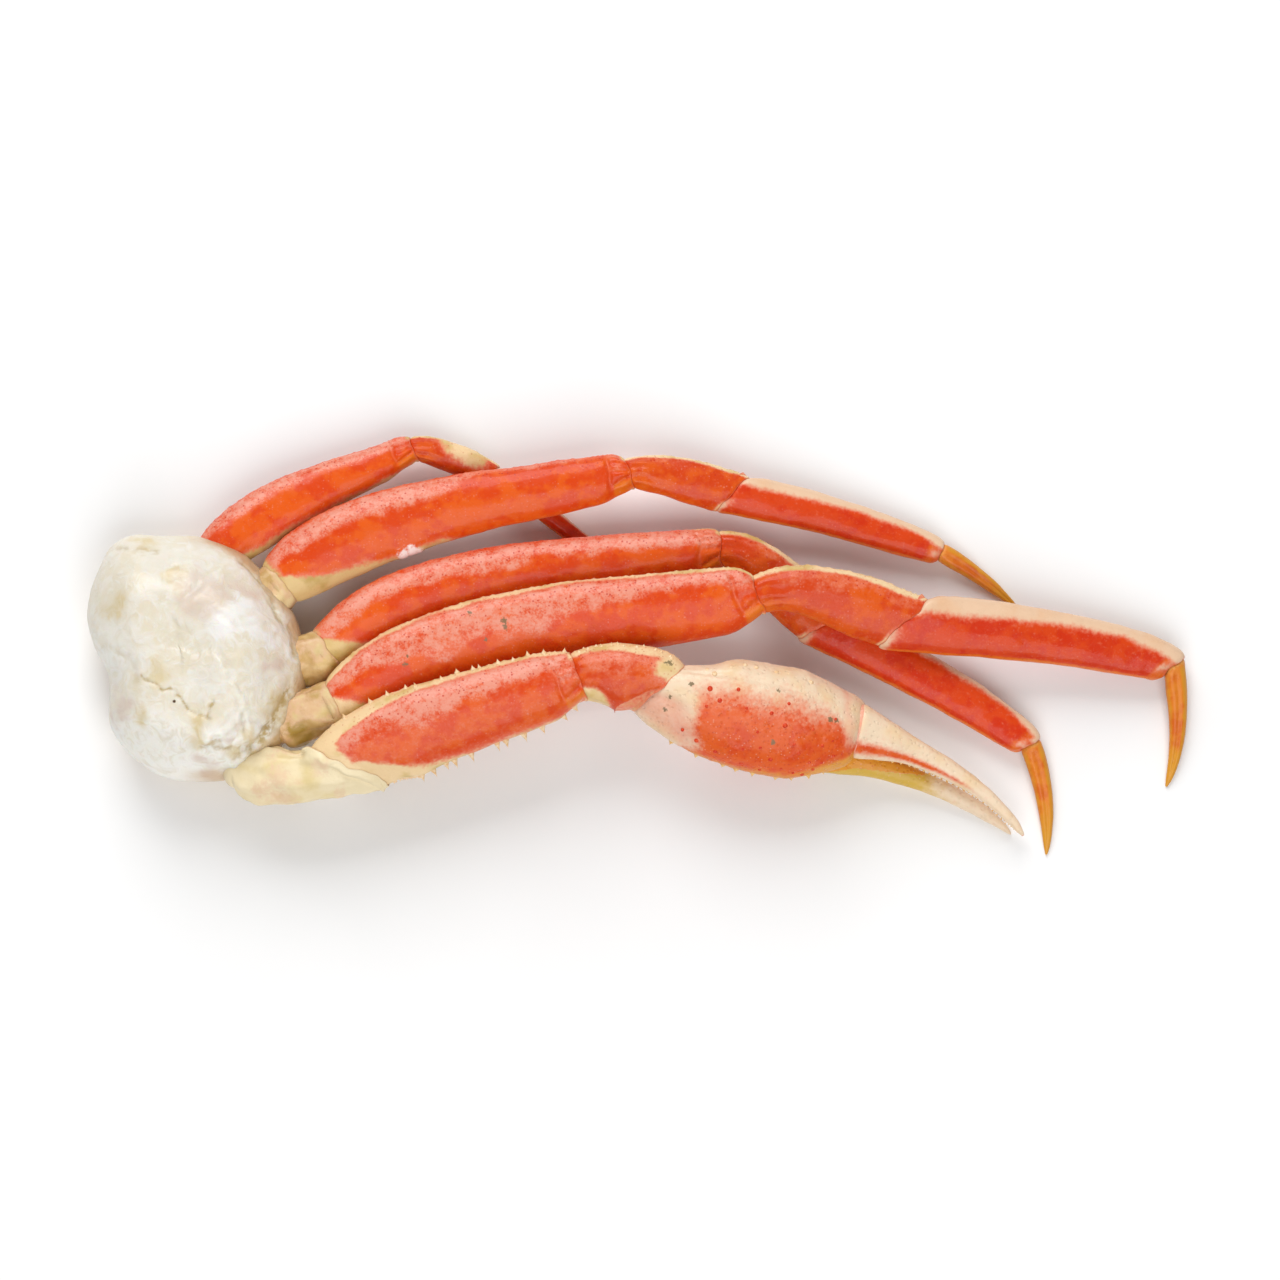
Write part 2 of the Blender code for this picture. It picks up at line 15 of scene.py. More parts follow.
import bpy
import numpy as np
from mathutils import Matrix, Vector


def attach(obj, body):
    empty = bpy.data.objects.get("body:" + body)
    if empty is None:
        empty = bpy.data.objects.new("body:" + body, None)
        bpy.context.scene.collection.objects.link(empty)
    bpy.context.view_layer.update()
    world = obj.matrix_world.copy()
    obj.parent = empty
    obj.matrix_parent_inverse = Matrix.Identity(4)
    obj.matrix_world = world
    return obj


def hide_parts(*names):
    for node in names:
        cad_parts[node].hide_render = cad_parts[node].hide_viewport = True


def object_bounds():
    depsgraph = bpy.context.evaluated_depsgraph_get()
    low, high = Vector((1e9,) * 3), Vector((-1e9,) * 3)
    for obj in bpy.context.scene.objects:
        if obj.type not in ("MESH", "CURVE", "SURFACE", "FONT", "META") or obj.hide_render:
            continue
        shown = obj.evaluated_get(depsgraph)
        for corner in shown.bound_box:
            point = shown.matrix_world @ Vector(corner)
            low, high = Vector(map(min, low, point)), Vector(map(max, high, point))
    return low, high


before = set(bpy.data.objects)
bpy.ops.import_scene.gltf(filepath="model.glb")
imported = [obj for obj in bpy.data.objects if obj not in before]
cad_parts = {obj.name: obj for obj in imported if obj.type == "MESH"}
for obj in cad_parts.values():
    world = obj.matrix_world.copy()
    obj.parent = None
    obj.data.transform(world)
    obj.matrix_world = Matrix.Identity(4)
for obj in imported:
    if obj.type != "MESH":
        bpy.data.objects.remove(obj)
cad_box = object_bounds()
MM = 0.001
rng = np.random.default_rng(5)
print("solids to dress:", len(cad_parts))

# %% [markdown]
# ## The plan of the limbs
#
# A crab's leg is a chain of stiff tubes. Each tube is told by the line it follows and by how wide and
# thick it is along that line, which is how a boat's hull is drawn. A list of such widths is easy to
# read and to correct, so the same numbers that shaped the solids are repeated here, in millimetres.

# %% Joints and shells
FRAME_SHIFT = np.array([0.44, 1.88, 0.0])  # from the plan to the frame
GAP = 0.35  # air under the meat and at the bottom of a socket
SOCKET_DEPTH = 2.2
HANDLE = 0.32  # handles of a shell's curve, as a share of its chord
# length over which a section turns into the plane of its joint, and the largest share of a shell for it
TURN_LENGTH, MOST_TURN = 20.0, 0.66

# place of a joint, lean of the shell, turn of the joint's plane, and half sizes of its neck
Joint = namedtuple("Joint", "place roll skew neck")
# arch of the line at both ends, shares of the length, half widths, half thicknesses, boxiness
Shell = namedtuple("Shell", "name arch share width depth power sag", defaults=(None,))

LEG_SHARE = (0.0, 0.04, 0.10, 0.22, 0.40, 0.58, 0.75, 0.88, 0.95, 1.0)
SHORT_SHARE = (0.0, 0.10, 0.28, 0.50, 0.75, 1.0)
LONG_SHARE = (0.0, 0.04, 0.14, 0.35, 0.60, 0.82, 1.0)
TIP_SHARE = (0.0, 0.12, 0.28, 0.46, 0.64, 0.80, 0.92, 1.0)
BASE_SHARE = (0.0, 0.35, 0.7, 1.0)
PALM_SHARE = (0.0, 0.1, 0.3, 0.5, 0.66, 0.8, 0.92, 1.0)

LIMBS = {
    "leg_2": (
        [
            Joint((-90.0, -22.6, 14.5), 10, 0, (5.4, 4.0)),
            Joint((-75.6, -18.0, 16.4), 20, 0, (5.2, 3.8)),
            Joint((28.7, 8.9, 19.0), 18, 6, (4.2, 3.0)),
            Joint((65.3, 2.5, 14.5), 8, -36, (5.6, 2.8)),
            Joint((133.1, -7.1, 5.4), 0, 0, (2.3, 1.7)),
            Joint((131.8, -37.3, 0.3), 0, 0, None),
        ],
        [
            Shell("base", (0, 0), BASE_SHARE, (6.2, 6.4, 6.6, 6.6), (4.9, 5.2, 5.2, 5.0), 2.2),
            Shell("merus", (24, -4), LEG_SHARE,
                  (6.4, 7.4, 8.5, 9.6, 10.0, 10.1, 9.4, 8.7, 8.1, 6.8),
                  (4.8, 5.2, 5.5, 5.6, 5.6, 5.5, 5.3, 5.0, 4.7, 4.4), 2.15),
            Shell("carpus", (32, -10), SHORT_SHARE, (4.9, 5.2, 6.1, 7.1, 8.0, 7.6),
                  (3.9, 4.1, 4.3, 4.4, 4.3, 4.0), 2.2),
            Shell("propodus", (6, -9), LONG_SHARE, (6.9, 7.2, 7.4, 7.1, 6.6, 5.9, 4.9),
                  (3.7, 3.9, 4.0, 4.0, 3.8, 3.5, 3.1), 2.4),
            Shell("dactyl", (16, -18), TIP_SHARE, (2.9, 2.9, 2.6, 2.2, 1.8, 1.3, 0.8, 0.25),
                  (2.2, 2.3, 2.1, 1.8, 1.5, 1.1, 0.7, 0.3), 2.0),
        ],
    ),
    "leg_3": (
        [
            Joint((-91.0, -9.4, 13.0), 10, 0, (5.0, 3.8)),
            Joint((-78.3, -4.2, 13.2), 20, 0, (4.8, 3.5)),
            Joint((19.7, 21.2, 9.8), 14, 8, (3.7, 2.8)),
            Joint((44.8, 2.7, 7.5), 4, -24, (4.8, 2.5)),
            Joint((97.5, -27.0, 3.8), 0, 0, (2.1, 1.6)),
            Joint((101.5, -54.4, 0.3), 0, 0, None),
        ],
        [
            Shell("base", (0, 0), BASE_SHARE, (6.6, 6.6, 6.5, 6.3), (4.7, 5.0, 5.0, 4.8), 2.2),
            Shell("merus", (27, -4), LEG_SHARE, (6.0, 7.0, 7.9, 8.6, 8.5, 8.1, 7.5, 6.9, 6.4, 5.8),
                  (4.5, 4.9, 5.1, 5.2, 5.2, 5.1, 4.9, 4.7, 4.5, 4.2), 2.15),
            Shell("carpus", (24, -12), SHORT_SHARE, (4.7, 5.3, 6.2, 6.7, 7.0, 6.4),
                  (3.7, 3.8, 3.9, 3.9, 3.8, 3.6), 2.2),
            Shell("propodus", (7, -7), LONG_SHARE, (5.7, 6.0, 6.2, 6.0, 5.6, 5.0, 4.2),
                  (3.4, 3.5, 3.6, 3.6, 3.5, 3.3, 3.0), 2.4),
            Shell("dactyl", (14, -13), TIP_SHARE, (2.6, 2.7, 2.5, 2.2, 1.8, 1.3, 0.8, 0.25),
                  (2.1, 2.2, 2.0, 1.8, 1.5, 1.1, 0.7, 0.3), 2.0),
        ],
    ),
    "leg_4": (
        [
            Joint((-99.5, 3.6, 12.5), 6, 0, (4.8, 3.8)),
            Joint((-90.2, 12.6, 13.0), 12, 0, (4.8, 3.6)),
            Joint((-3.2, 40.2, 13.0), 8, 8, (3.4, 2.7)),
            Joint((22.7, 35.7, 9.5), 4, -34, (4.0, 2.2)),
            Joint((75.3, 21.6, 4.0), 0, 0, (1.9, 1.4)),
            Joint((95.0, 7.4, 0.3), 0, 0, None),
        ],
        [
            Shell("base", (0, 0), BASE_SHARE, (5.8, 6.2, 6.3, 6.2), (4.6, 5.0, 5.0, 4.8), 2.2),
            Shell("merus", (24, -5), LEG_SHARE, (6.2, 7.6, 8.6, 9.1, 8.5, 7.6, 6.9, 6.3, 5.9, 5.4),
                  (4.6, 5.0, 5.2, 5.3, 5.2, 5.0, 4.7, 4.4, 4.2, 3.9), 2.15),
            Shell("carpus", (15, -6), SHORT_SHARE, (3.9, 4.3, 4.9, 5.4, 5.6, 5.4),
                  (3.3, 3.4, 3.5, 3.5, 3.4, 3.2), 2.2),
            Shell("propodus", (5, -5), LONG_SHARE, (4.8, 5.1, 5.3, 5.1, 4.8, 4.3, 3.5),
                  (2.9, 3.1, 3.2, 3.2, 3.1, 2.9, 2.5), 2.4),
            Shell("dactyl", (8, -8), TIP_SHARE, (2.3, 2.4, 2.2, 1.9, 1.6, 1.1, 0.7, 0.25),
                  (1.8, 1.9, 1.8, 1.6, 1.3, 1.0, 0.6, 0.3), 2.0),
        ],
    ),
    "leg_5": (
        [
            Joint((-110.5, 10.5, 12.0), 4, 0, (4.4, 3.4)),
            Joint((-107.0, 19.0, 12.0), 6, 0, (4.3, 3.1)),
            Joint((-57.5, 46.9, 8.5), 4, 5, (2.8, 2.2)),
            Joint((-37.5, 40.7, 5.0), 2, -20, (2.3, 1.6)),
            Joint((-9.2, 19.8, 2.4), 0, 0, (1.3, 1.0)),
            Joint((11.9, 6.9, 0.3), 0, 0, None),
        ],
        [
            Shell("base", (0, 0), BASE_SHARE, (5.0, 5.4, 5.6, 5.6), (4.0, 4.2, 4.2, 4.2), 2.2),
            Shell("merus", (20, -4), LEG_SHARE, (5.6, 6.1, 6.6, 7.0, 6.9, 6.0, 5.2, 4.6, 4.3, 4.0),
                  (4.1, 4.2, 4.3, 4.2, 4.0, 3.8, 3.6, 3.4, 3.3, 3.2), 2.15),
            Shell("carpus", (22, -6), SHORT_SHARE, (3.1, 3.4, 3.8, 3.9, 3.7, 3.3),
                  (2.6, 2.7, 2.7, 2.6, 2.5, 2.3), 2.2),
            Shell("propodus", (3, -3), LONG_SHARE, (2.7, 2.7, 2.6, 2.4, 2.3, 2.2, 2.0),
                  (2.2, 2.2, 2.2, 2.1, 2.0, 1.9, 1.7), 2.3),
            Shell("dactyl", (6, -8), TIP_SHARE, (1.5, 1.6, 1.5, 1.3, 1.1, 0.8, 0.5, 0.2),
                  (1.2, 1.3, 1.2, 1.1, 0.9, 0.7, 0.5, 0.3), 2.0),
        ],
    ),
    "claw": (
        [
            Joint((-100.5, -36.5, 14.5), 8, 0, (5.6, 4.6)),
            Joint((-72.1, -33.3, 19.6), 17, 38, (6.6, 4.0)),
            Joint((-15.7, -12.1, 24.6), 18, 8, (4.7, 3.8)),
            Joint((4.2, -14.5, 22.6), 18, -25, (5.4, 4.0)),
            Joint((54.0, -24.5, 14.4), 14, 4, (5.0, 3.4)),
            Joint((95.4, -49.9, 4.6), 10, 0, None),
        ],
        [
            Shell("base", (-6, 10), BASE_SHARE, (7.8, 7.2, 6.6, 9.4), (5.2, 5.6, 5.6, 5.4), 2.2),
            Shell("merus", (14, -2), LEG_SHARE,
                  (9.4, 9.9, 10.5, 11.0, 10.4, 9.8, 9.2, 8.7, 7.9, 6.9),
                  (5.3, 5.7, 6.1, 6.5, 6.6, 6.6, 6.4, 6.1, 5.8, 5.3), 2.15),
            Shell("carpus", (14, -18), SHORT_SHARE, (6.1, 6.5, 7.5, 8.6, 9.1, 8.2),
                  (4.9, 5.3, 6.2, 6.8, 6.7, 6.0), 2.2),
            Shell("palm", (-11, 7), PALM_SHARE, (7.8, 9.7, 12.8, 13.9, 13.9, 12.0, 9.7, 8.4),
                  (5.8, 6.8, 8.8, 9.7, 9.8, 9.2, 8.4, 7.8), 2.15,
                  (0.0, 0.0, 0.2, 0.6, 1.1, 1.8, 2.4, 2.8)),
            Shell("finger", (15, -24), TIP_SHARE, (6.9, 5.4, 3.7, 2.7, 2.0, 1.5, 1.1, 0.3),
                  (4.6, 3.8, 2.9, 2.3, 1.8, 1.4, 1.0, 0.3), 2.1),
        ],
    ),
}
FIXED_FINGER_ENDS = ((42.0, -28.6, 8.4), (92.7, -49.3, 0.4))
FIXED_FINGER = Shell("fixed", (11, -20), TIP_SHARE, (5.4, 4.6, 3.4, 2.7, 2.3, 2.0, 1.3, 0.35),
                     (4.6, 3.5, 2.6, 2.4, 2.1, 1.8, 1.2, 0.4), 2.1)
print("shells in the plan:", sum(len(shells) for _, shells in LIMBS.values()))

# %% [markdown]
# ## Unevenness
#
# Nothing that grew is even. A shell swells and dips by a few tenths of a millimetre, and its colours
# wander. A random number for each corner of a cubic lattice, blended smoothly in between, gives such
# a drift. It depends on the place alone, so every run gives the same crab.

# %% Drift from a lattice of random numbers
HASH_X, HASH_Y, HASH_Z, HASH_SEED, HASH_MIX = 73856093, 19349663, 83492791, 26544357, 1274126177
LOW_BITS, HALF_OF_THEM = 0xFFFFFFFF, 0x7FFFFFFF
FAR_OFF = 1000.0  # keeps the number of every cell positive


def drift(points, size, seed=0):
    """From -1 to 1: the hashed corners of the cell round each point, blended by smoothstep."""
    cell = np.asarray(points) / size + FAR_OFF
    corner = np.floor(cell).astype(np.int64)
    part = cell - corner
    part = part * part * (3 - 2 * part)
    total = np.zeros(cell.shape[:-1])
    for dx, dy, dz in np.ndindex(2, 2, 2):
        mixed = (corner[..., 0] + dx) * HASH_X ^ (corner[..., 1] + dy) * HASH_Y
        mixed = (mixed ^ (corner[..., 2] + dz) * HASH_Z ^ (seed + 1) * HASH_SEED) & LOW_BITS
        mixed = ((mixed ^ (mixed >> 13)) * HASH_MIX) & LOW_BITS
        mixed = mixed ^ (mixed >> 16)
        weight = abs(1 - dx - part[..., 0]) * abs(1 - dy - part[..., 1]) * abs(1 - dz - part[..., 2])
        total += weight * (mixed / HALF_OF_THEM - 1)
    return total


def rough_drift(points, size, seed=0, layers=3):
    """Drift at a size and at each half of it, each layer half as strong."""
    return sum(drift(points, size / 2**k, seed + k) / 2**k for k in range(layers))


def ease(low, high, value):
    """0 below low, 1 above high, and a smooth S between."""
    t = np.clip((value - low) / (high - low), 0, 1)
    return t * t * (3 - 2 * t)


def bell(value, width):
    """1 where the value is 0, falling to 1 / e at one width: e to the power of -(value / width) squared."""
    return np.exp(-((value / width) ** 2))


def patches(x, y, places):
    """The strongest of several soft round patches, each a bell curve of the level distance from its place."""
    return np.max([np.exp(-((x - u) ** 2 + (y - v) ** 2) / reach**2) for u, v, reach in places], axis=0)


sample = rng.uniform(-100, 100, (1000, 3))
print("drift spans", drift(sample, 9).min().round(2), "to", drift(sample, 9).max().round(2))

# %% [markdown]
# ## A tube with a changing section
#
# The line of each shell is a cubic curve, and the section is a superellipse: an ellipse whose
# corners can be filled out. At a knee the section turns into the plane of the joint, so that the two
# shells meet face to face. The widths between the named ones follow a cubic that never overshoots.


# %% Line, widths and section planes
def unit(vector):
    return vector / np.linalg.norm(vector, axis=-1, keepdims=True)


def turns(count):
    """Angles spaced evenly round a circle."""
    return np.linspace(0, 2 * math.pi, count, endpoint=False)


def turned(vector, degrees):
    """The vector turned about +Z."""
    c, s = math.cos(math.radians(degrees)), math.sin(math.radians(degrees))
    return np.array([c * vector[0] - s * vector[1], s * vector[0] + c * vector[1], vector[2]])


def between(share, at, values):
    """A cubic through the named values.

    Its slope at each is the harmonic mean of the slopes beside it, and zero at a peak.
    """
    at, values = np.array(at, float), np.array(values, float)
    span = np.diff(at)
    slope = np.diff(values) / span
    product = slope[1:] * slope[:-1]
    mean = 2 * product / np.where(product > 0, slope[1:] + slope[:-1], 1)
    tangent = np.concatenate([slope[:1], np.where(product > 0, mean, 0), slope[-1:]])
    i = np.clip(np.searchsorted(at, share, side="right") - 1, 0, len(span) - 1)
    s, h = (share - at[i]) / span[i], span[i]
    return (
        (1 + 2 * s) * (1 - s) ** 2 * values[i] + s * (1 - s) ** 2 * h * tangent[i]
        + s * s * (3 - 2 * s) * values[i + 1] + s * s * (s - 1) * h * tangent[i + 1]
    )


def centreline(start, end, arch, share):
    """Points and directions of the cubic curve between two joints."""
    start, end = np.array(start), np.array(end)
    chord = end - start
    near, far = start + HANDLE * turned(chord, arch[0]), end - HANDLE * turned(chord, arch[1])
    t = np.asarray(share, float)[:, None]
    points = (1 - t) ** 3 * start + 3 * t * (1 - t) ** 2 * near + 3 * t**2 * (1 - t) * far + t**3 * end
    slope = (1 - t) ** 2 * (near - start) + 2 * t * (1 - t) * (far - near) + t**2 * (end - far)
    return points, unit(slope)


def joint_normals(joints, shells):
    """The direction in which a limb passes each joint: the mean of the two lines, turned by its skew."""
    ends = [
        centreline(a.place, b.place, shell.arch, (0.0, 1.0))[1]
        for shell, a, b in zip(shells, joints, joints[1:])
    ]
    middle = [
        turned(unit(before[1] + after[0]), joint.skew)
        for before, after, joint in zip(ends, ends[1:], joints[1:])
    ]
    return [ends[0][0], *middle, ends[-1][1]]


def section_planes(shell, start, end, start_normal, end_normal, share):
    """Centre, normal, lean and width stretch of the section at each share of the shell."""
    points, slopes = centreline(start.place, end.place, shell.arch, share)
    turn = min(MOST_TURN, TURN_LENGTH / math.dist(start.place, end.place))
    near, far = ease(0, 1, 1 - share / turn)[:, None], ease(0, 1, 1 - (1 - share) / turn)[:, None]
    normals = unit(near * start_normal + far * end_normal + (1 - near - far) * slopes)
    stretch = 1 / np.abs((normals * slopes).sum(1))
    if shell.sag:
        down = np.array([0.0, 0.0, 1.0]) - normals[:, 2:] * normals
        points = points - between(share, shell.share, shell.sag)[:, None] * down
    return points, normals, start.roll + (end.roll - start.roll) * share, stretch


def across_and_out(normals, roll):
    """Two directions in each section's plane: across to the upper edge, and out through the upper face."""
    level = unit(np.cross((0.0, 0.0, 1.0), normals))
    up = np.cross(normals, level)
    c, s = np.cos(np.radians(roll))[:, None], np.sin(np.radians(roll))[:, None]
    return c * level + s * up, c * up - s * level


def superellipse(angle, power):
    """Cosine and sine of the angle, each to the power 2 / power and with its own sign."""
    c, s = np.cos(angle), np.sin(angle)
    return np.sign(c) * np.abs(c) ** (2 / power), np.sign(s) * np.abs(s) ** (2 / power)


def rings_of(centres, normals, roll, width, depth, power, around):
    """Superellipse rings of the given half widths and half thicknesses."""
    across, out = across_and_out(normals, roll)
    x, y = superellipse(turns(around), power)
    return (
        centres[:, None, :]
        + (width[:, None] * x)[..., None] * across[:, None, :]
        + (depth[:, None] * y)[..., None] * out[:, None, :]
    )


joints, shells = LIMBS["leg_2"]
print("leg 2 turns at its knees:", [np.round(n, 2).tolist() for n in joint_normals(joints, shells)[2:4]])

# %% [markdown]
# ## A shell with both of its ends
#
# A real shell does not stop at a flat face. Near the body it rounds over into a soft neck that dives
# into the shell before it. Its far end curves in until it just holds the next shell, so that a knee
# shows as a fine crease. The grid of rings runs up the neck, over the rounding, along the shell, over
# the far lip and down the socket.

# %% Rings from neck to socket
FIRST_NECK_STEP, NECK_STEP = 0.12, 0.30  # how much slimmer the first neck of a limb and the others are
SLACK = 0.02  # air round a neck
NEAR_ROUNDING = 1.3
NECK_PLACES = np.array([GAP - SOCKET_DEPTH, GAP - SOCKET_DEPTH, -1.0, -0.4, -0.1])  # rings of a neck, and
NECK_LESS = np.array([1.2, 0.5, 0.2, 0.05, 0.0])  # how much slimmer each is than the shell's first ring
CAP, CAP_LEAN = 3.4, np.linspace(1.5, 0.1, 8)  # dome that closes a limb inside the shoulder: height and rings
# how much lower the upper edge of a limb starts at the shoulder, and for how long
ROOT_DROP, CLAW_ROOT_DROP = (1.0, 5.0), (5.5, 14.0)
# how far before a joint the upper and the lower edge of a shell begin to curve in
KNEE_REACH = {"base": (6.0, 5.0), "merus": (3.5, 9.0), "carpus": (6.0, 2.6), "propodus": (6.5, 2.2),
              "palm": (4.0, 2.5)}
CLAW_BASE_REACH = (10.0, 9.0)
LEAST_IN, MOST_IN = 0.1, (3.4, 2.4)  # how much a far end curves in, across and through
SOCKET_STEPS = np.array([0.12, 0.6, 1.3, SOCKET_DEPTH])  # depths of the rings inside a socket
SEAM_SWAY, SEAM_REACH = 0.9, 3.0  # how far a seam strays from its plane, and how far off that is felt
# rings of points, share of length and angle of each point, length, and which rings show
Loft = namedtuple("Loft", "grid share angle length body")


def shares_of(length, spacing):
    """Shares of the length, closer together at both ends and where a knee folds."""
    ends = np.array([0, 0.08, 0.2, 0.4, 0.65, 0.95, 1.3, 1.7, 2.2, 2.8])
    knee = np.arange(3.1, 7.0 if length > 30 else 3.5, 0.3)
    stop = knee[-1] + 0.4
    middle = np.linspace(3.5, length - stop, max(4, int((length - 3.5 - stop) / spacing)))
    return np.concatenate([ends, middle, length - knee[::-1], length - ends[::-1]]) / length


def end_size(limb, index, far):
    """Half width and half thickness of a shell in the plane of its near or far joint."""
    joints, shells = LIMBS[limb]
    shell, start, end = shells[index], joints[index], joints[index + 1]
    _, slopes = centreline(start.place, end.place, shell.arch, (0.0, 1.0))
    normal = joint_normals(joints, shells)[index + far]
    return shell.width[-far] / abs(normal @ slopes[far]), shell.depth[-far]


def neck_size(limb, index):
    """Half width and half thickness of a shell's neck: just less than the slimmer of the two ends."""
    step = FIRST_NECK_STEP if index == 1 else NECK_STEP
    return [min(a, b) - step for a, b in zip(end_size(limb, index, 0), end_size(limb, index - 1, 1))]


def rounded(distance, reach):
    """How far a quarter of an ellipse falls short of full, from 1 at its end to 0 at its reach."""
    return 1 - np.sqrt(1 - np.clip(1 - distance / reach, 0, 1) ** 2)


def tapered(distance, reach):
    """From 1 at a shell's end to 0 at its reach: mostly a parabola, and round a small lip for the rest."""
    return 0.75 * np.clip(1 - distance / reach, 0, 1) ** 2 + 0.25 * rounded(distance, 0.8)


def swayed(points, limb):
    """Points slid along the limb near each joint, alike in both shells that meet there.

    The slide is a drift over the joint's plane, times a bell curve of the distance from that plane.
    """
    joints, shells = LIMBS[limb]
    moved = points
    for joint, normal in list(zip(joints, joint_normals(joints, shells)))[1:-1]:
        offset = points - joint.place
        height = offset @ normal
        flat = points - height[..., None] * normal
        near = bell(height, SEAM_REACH) * ease(24, 16, np.linalg.norm(offset, axis=-1))
        moved = moved + (SEAM_SWAY * near * rough_drift(flat, 4.5, 83, 2))[..., None] * normal
    return moved


def loft_shell(limb, index, spacing=0.75, around=96):
    """The grid of one shell, with the share of length and the angle of each point."""
    joints, shells = LIMBS[limb]
    normals = joint_normals(joints, shells)
    shell, start, end = shells[index], joints[index], joints[index + 1]
    length = math.dist(start.place, end.place)
    share = shares_of(length, spacing)
    centres, planes, roll, stretch = section_planes(
        shell, start, end, normals[index], normals[index + 1], share
    )
    width = between(share, shell.share, shell.width) * stretch
    depth = between(share, shell.share, shell.depth)
    near, far = share * length, (1 - share) * length
    across, _ = across_and_out(planes, roll)
    if index > 0:
        slim = [side[0] - neck for side, neck in zip((width, depth), neck_size(limb, index))]
        width, depth = (
            side - less * rounded(near, max(NEAR_ROUNDING, 2.5 * less))
            for side, less in zip((width, depth), slim)
        )
    else:
        drop, drop_reach = CLAW_ROOT_DROP if limb == "claw" else ROOT_DROP
        lower = drop * rounded(near, drop_reach)
        centres = centres + across * lower[:, None] / 2
        width = width - lower / 2
    if end.neck:
        neck_width, neck_depth = neck_size(limb, index + 1)
        lip = 0.2 if index > 0 else 0.05
        in_width, in_depth = (
            min(max(side[-1] - neck - lip, LEAST_IN), most)
            for side, neck, most in zip((width, depth), (neck_width, neck_depth), MOST_IN)
        )
        curve = rounded if shell.name == "propodus" else tapered
        reaches = CLAW_BASE_REACH if (limb, index) == ("claw", 0) else KNEE_REACH[shell.name]
        upper, lower = (in_width * curve(far, reach) for reach in reaches)
        centres = centres + across * (lower - upper)[:, None] / 2
        width = width - (upper + lower) / 2
        depth = depth - in_depth * rounded(far, 1.0 + 1.2 * in_depth)
    parts = [(centres, planes, roll, width, depth, share)]
    if index > 0:
        along, neck = NECK_PLACES, (width[0] - NECK_LESS, depth[0] - NECK_LESS)
    else:
        along, neck = -CAP * np.sin(CAP_LEAN), (width[0] * np.cos(CAP_LEAN), depth[0] * np.cos(CAP_LEAN))
    one = np.ones(len(along))
    place = centres[0] + along[:, None] * normals[index]
    parts.insert(0, (place, one[:, None] * normals[index], one * start.roll, *neck, 0 * one))
    if end.neck:
        one = np.ones(len(SOCKET_STEPS))
        place = np.array(end.place) - SOCKET_STEPS[:, None] * normals[index + 1]
        socket = (one * (neck_width + SLACK), one * (neck_depth + SLACK))
        parts.append((place, one[:, None] * normals[index + 1], one * end.roll, *socket, one))
    columns = [np.concatenate(column) for column in zip(*parts)]
    grid = swayed(rings_of(*columns[:5], shell.power, around), limb)
    body = np.zeros(len(grid), bool)
    first = len(parts[0][0])
    body[first : first + len(share)] = True
    angle, share = np.meshgrid(turns(around), columns[5])
    return Loft(grid, share, angle, length, body)


trial = loft_shell("leg_2", 1)
print("the longest shell has", trial.grid.shape[0], "rings of", trial.grid.shape[1])

# %% [markdown]
# ## From a grid to a piece
#
# A closed grid becomes a mesh with a fan at each end. The points are pushed outwards first by
# whatever relief the shell has. Painted masks, worked out from the share and angle of each point, go
# with the points as attributes, which the materials read, so that a band of colour follows the shell
# round its bends.


# %% Mesh from a grid
def outward(grid):
    """Unit normals of a closed grid: the cross product of its two central differences."""
    round_ = np.roll(grid, -1, 1) - np.roll(grid, 1, 1)
    along = np.gradient(grid, axis=0)
    return unit(np.cross(round_, along) + 1e-9)


def grid_faces(rows, around):
    """Corner numbers of the quads of a grid that closes on itself, and of a fan at each end."""
    low = np.arange(rows - 1)[:, None] * around + np.arange(around)
    next_ = np.arange(rows - 1)[:, None] * around + (np.arange(around) + 1) % around
    quads = np.stack([low, next_, next_ + around, low + around], -1).reshape(-1, 4)
    first, last = np.arange(around), (rows - 1) * around + np.arange(around)
    near = np.stack([np.full(around, rows * around), np.roll(first, -1), first], -1)
    far = np.stack([np.full(around, rows * around + 1), last, np.roll(last, -1)], -1)
    return quads, np.concatenate([near, far])


def new_piece(name, points, quads, triangles, material, **values):
    """An object at the origin from points in millimetres, with its attributes."""
    mesh = bpy.data.meshes.new(name)
    mesh.vertices.add(len(points))
    mesh.vertices.foreach_set("co", (points * MM).astype(np.float32).ravel())
    corners = np.concatenate([quads.ravel(), triangles.ravel()])
    sizes = np.concatenate([np.full(len(quads), 4), np.full(len(triangles), 3)])
    mesh.loops.add(len(corners))
    mesh.loops.foreach_set("vertex_index", corners.astype(np.int32))
    mesh.polygons.add(len(sizes))
    mesh.polygons.foreach_set("loop_start", (np.cumsum(sizes) - sizes).astype(np.int32))
    mesh.update(calc_edges=True)
    mesh.validate()
    mesh.shade_smooth()
    for key, value in values.items():
        layer = mesh.attributes.new(key, "FLOAT", "POINT")
        layer.data.foreach_set("value", np.asarray(value, np.float32).ravel())
    mesh.materials.append(material)
    obj = bpy.data.objects.new(name, mesh)
    bpy.context.scene.collection.objects.link(obj)
    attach(obj, "root")
    return obj


def with_poles(values):
    """Grid values as one column, with the mean of each end ring for its pole."""
    flat = values.reshape(-1, *values.shape[2:])
    return np.concatenate([flat, values[:1].mean(1), values[-1:].mean(1)])


def in_frame(points):
    """Points of the plan shifted into the frame and kept above the table."""
    points = points + FRAME_SHIFT
    points[:, 2] = np.maximum(points[:, 2], 0.0)
    return points


def grid_piece(name, grid, material, **values):
    """A closed grid as a piece, with its values as attributes."""
    values = {key: with_poles(value) for key, value in values.items()}
    return new_piece(name, in_frame(with_poles(grid)), *grid_faces(*grid.shape[:2]), material, **values)


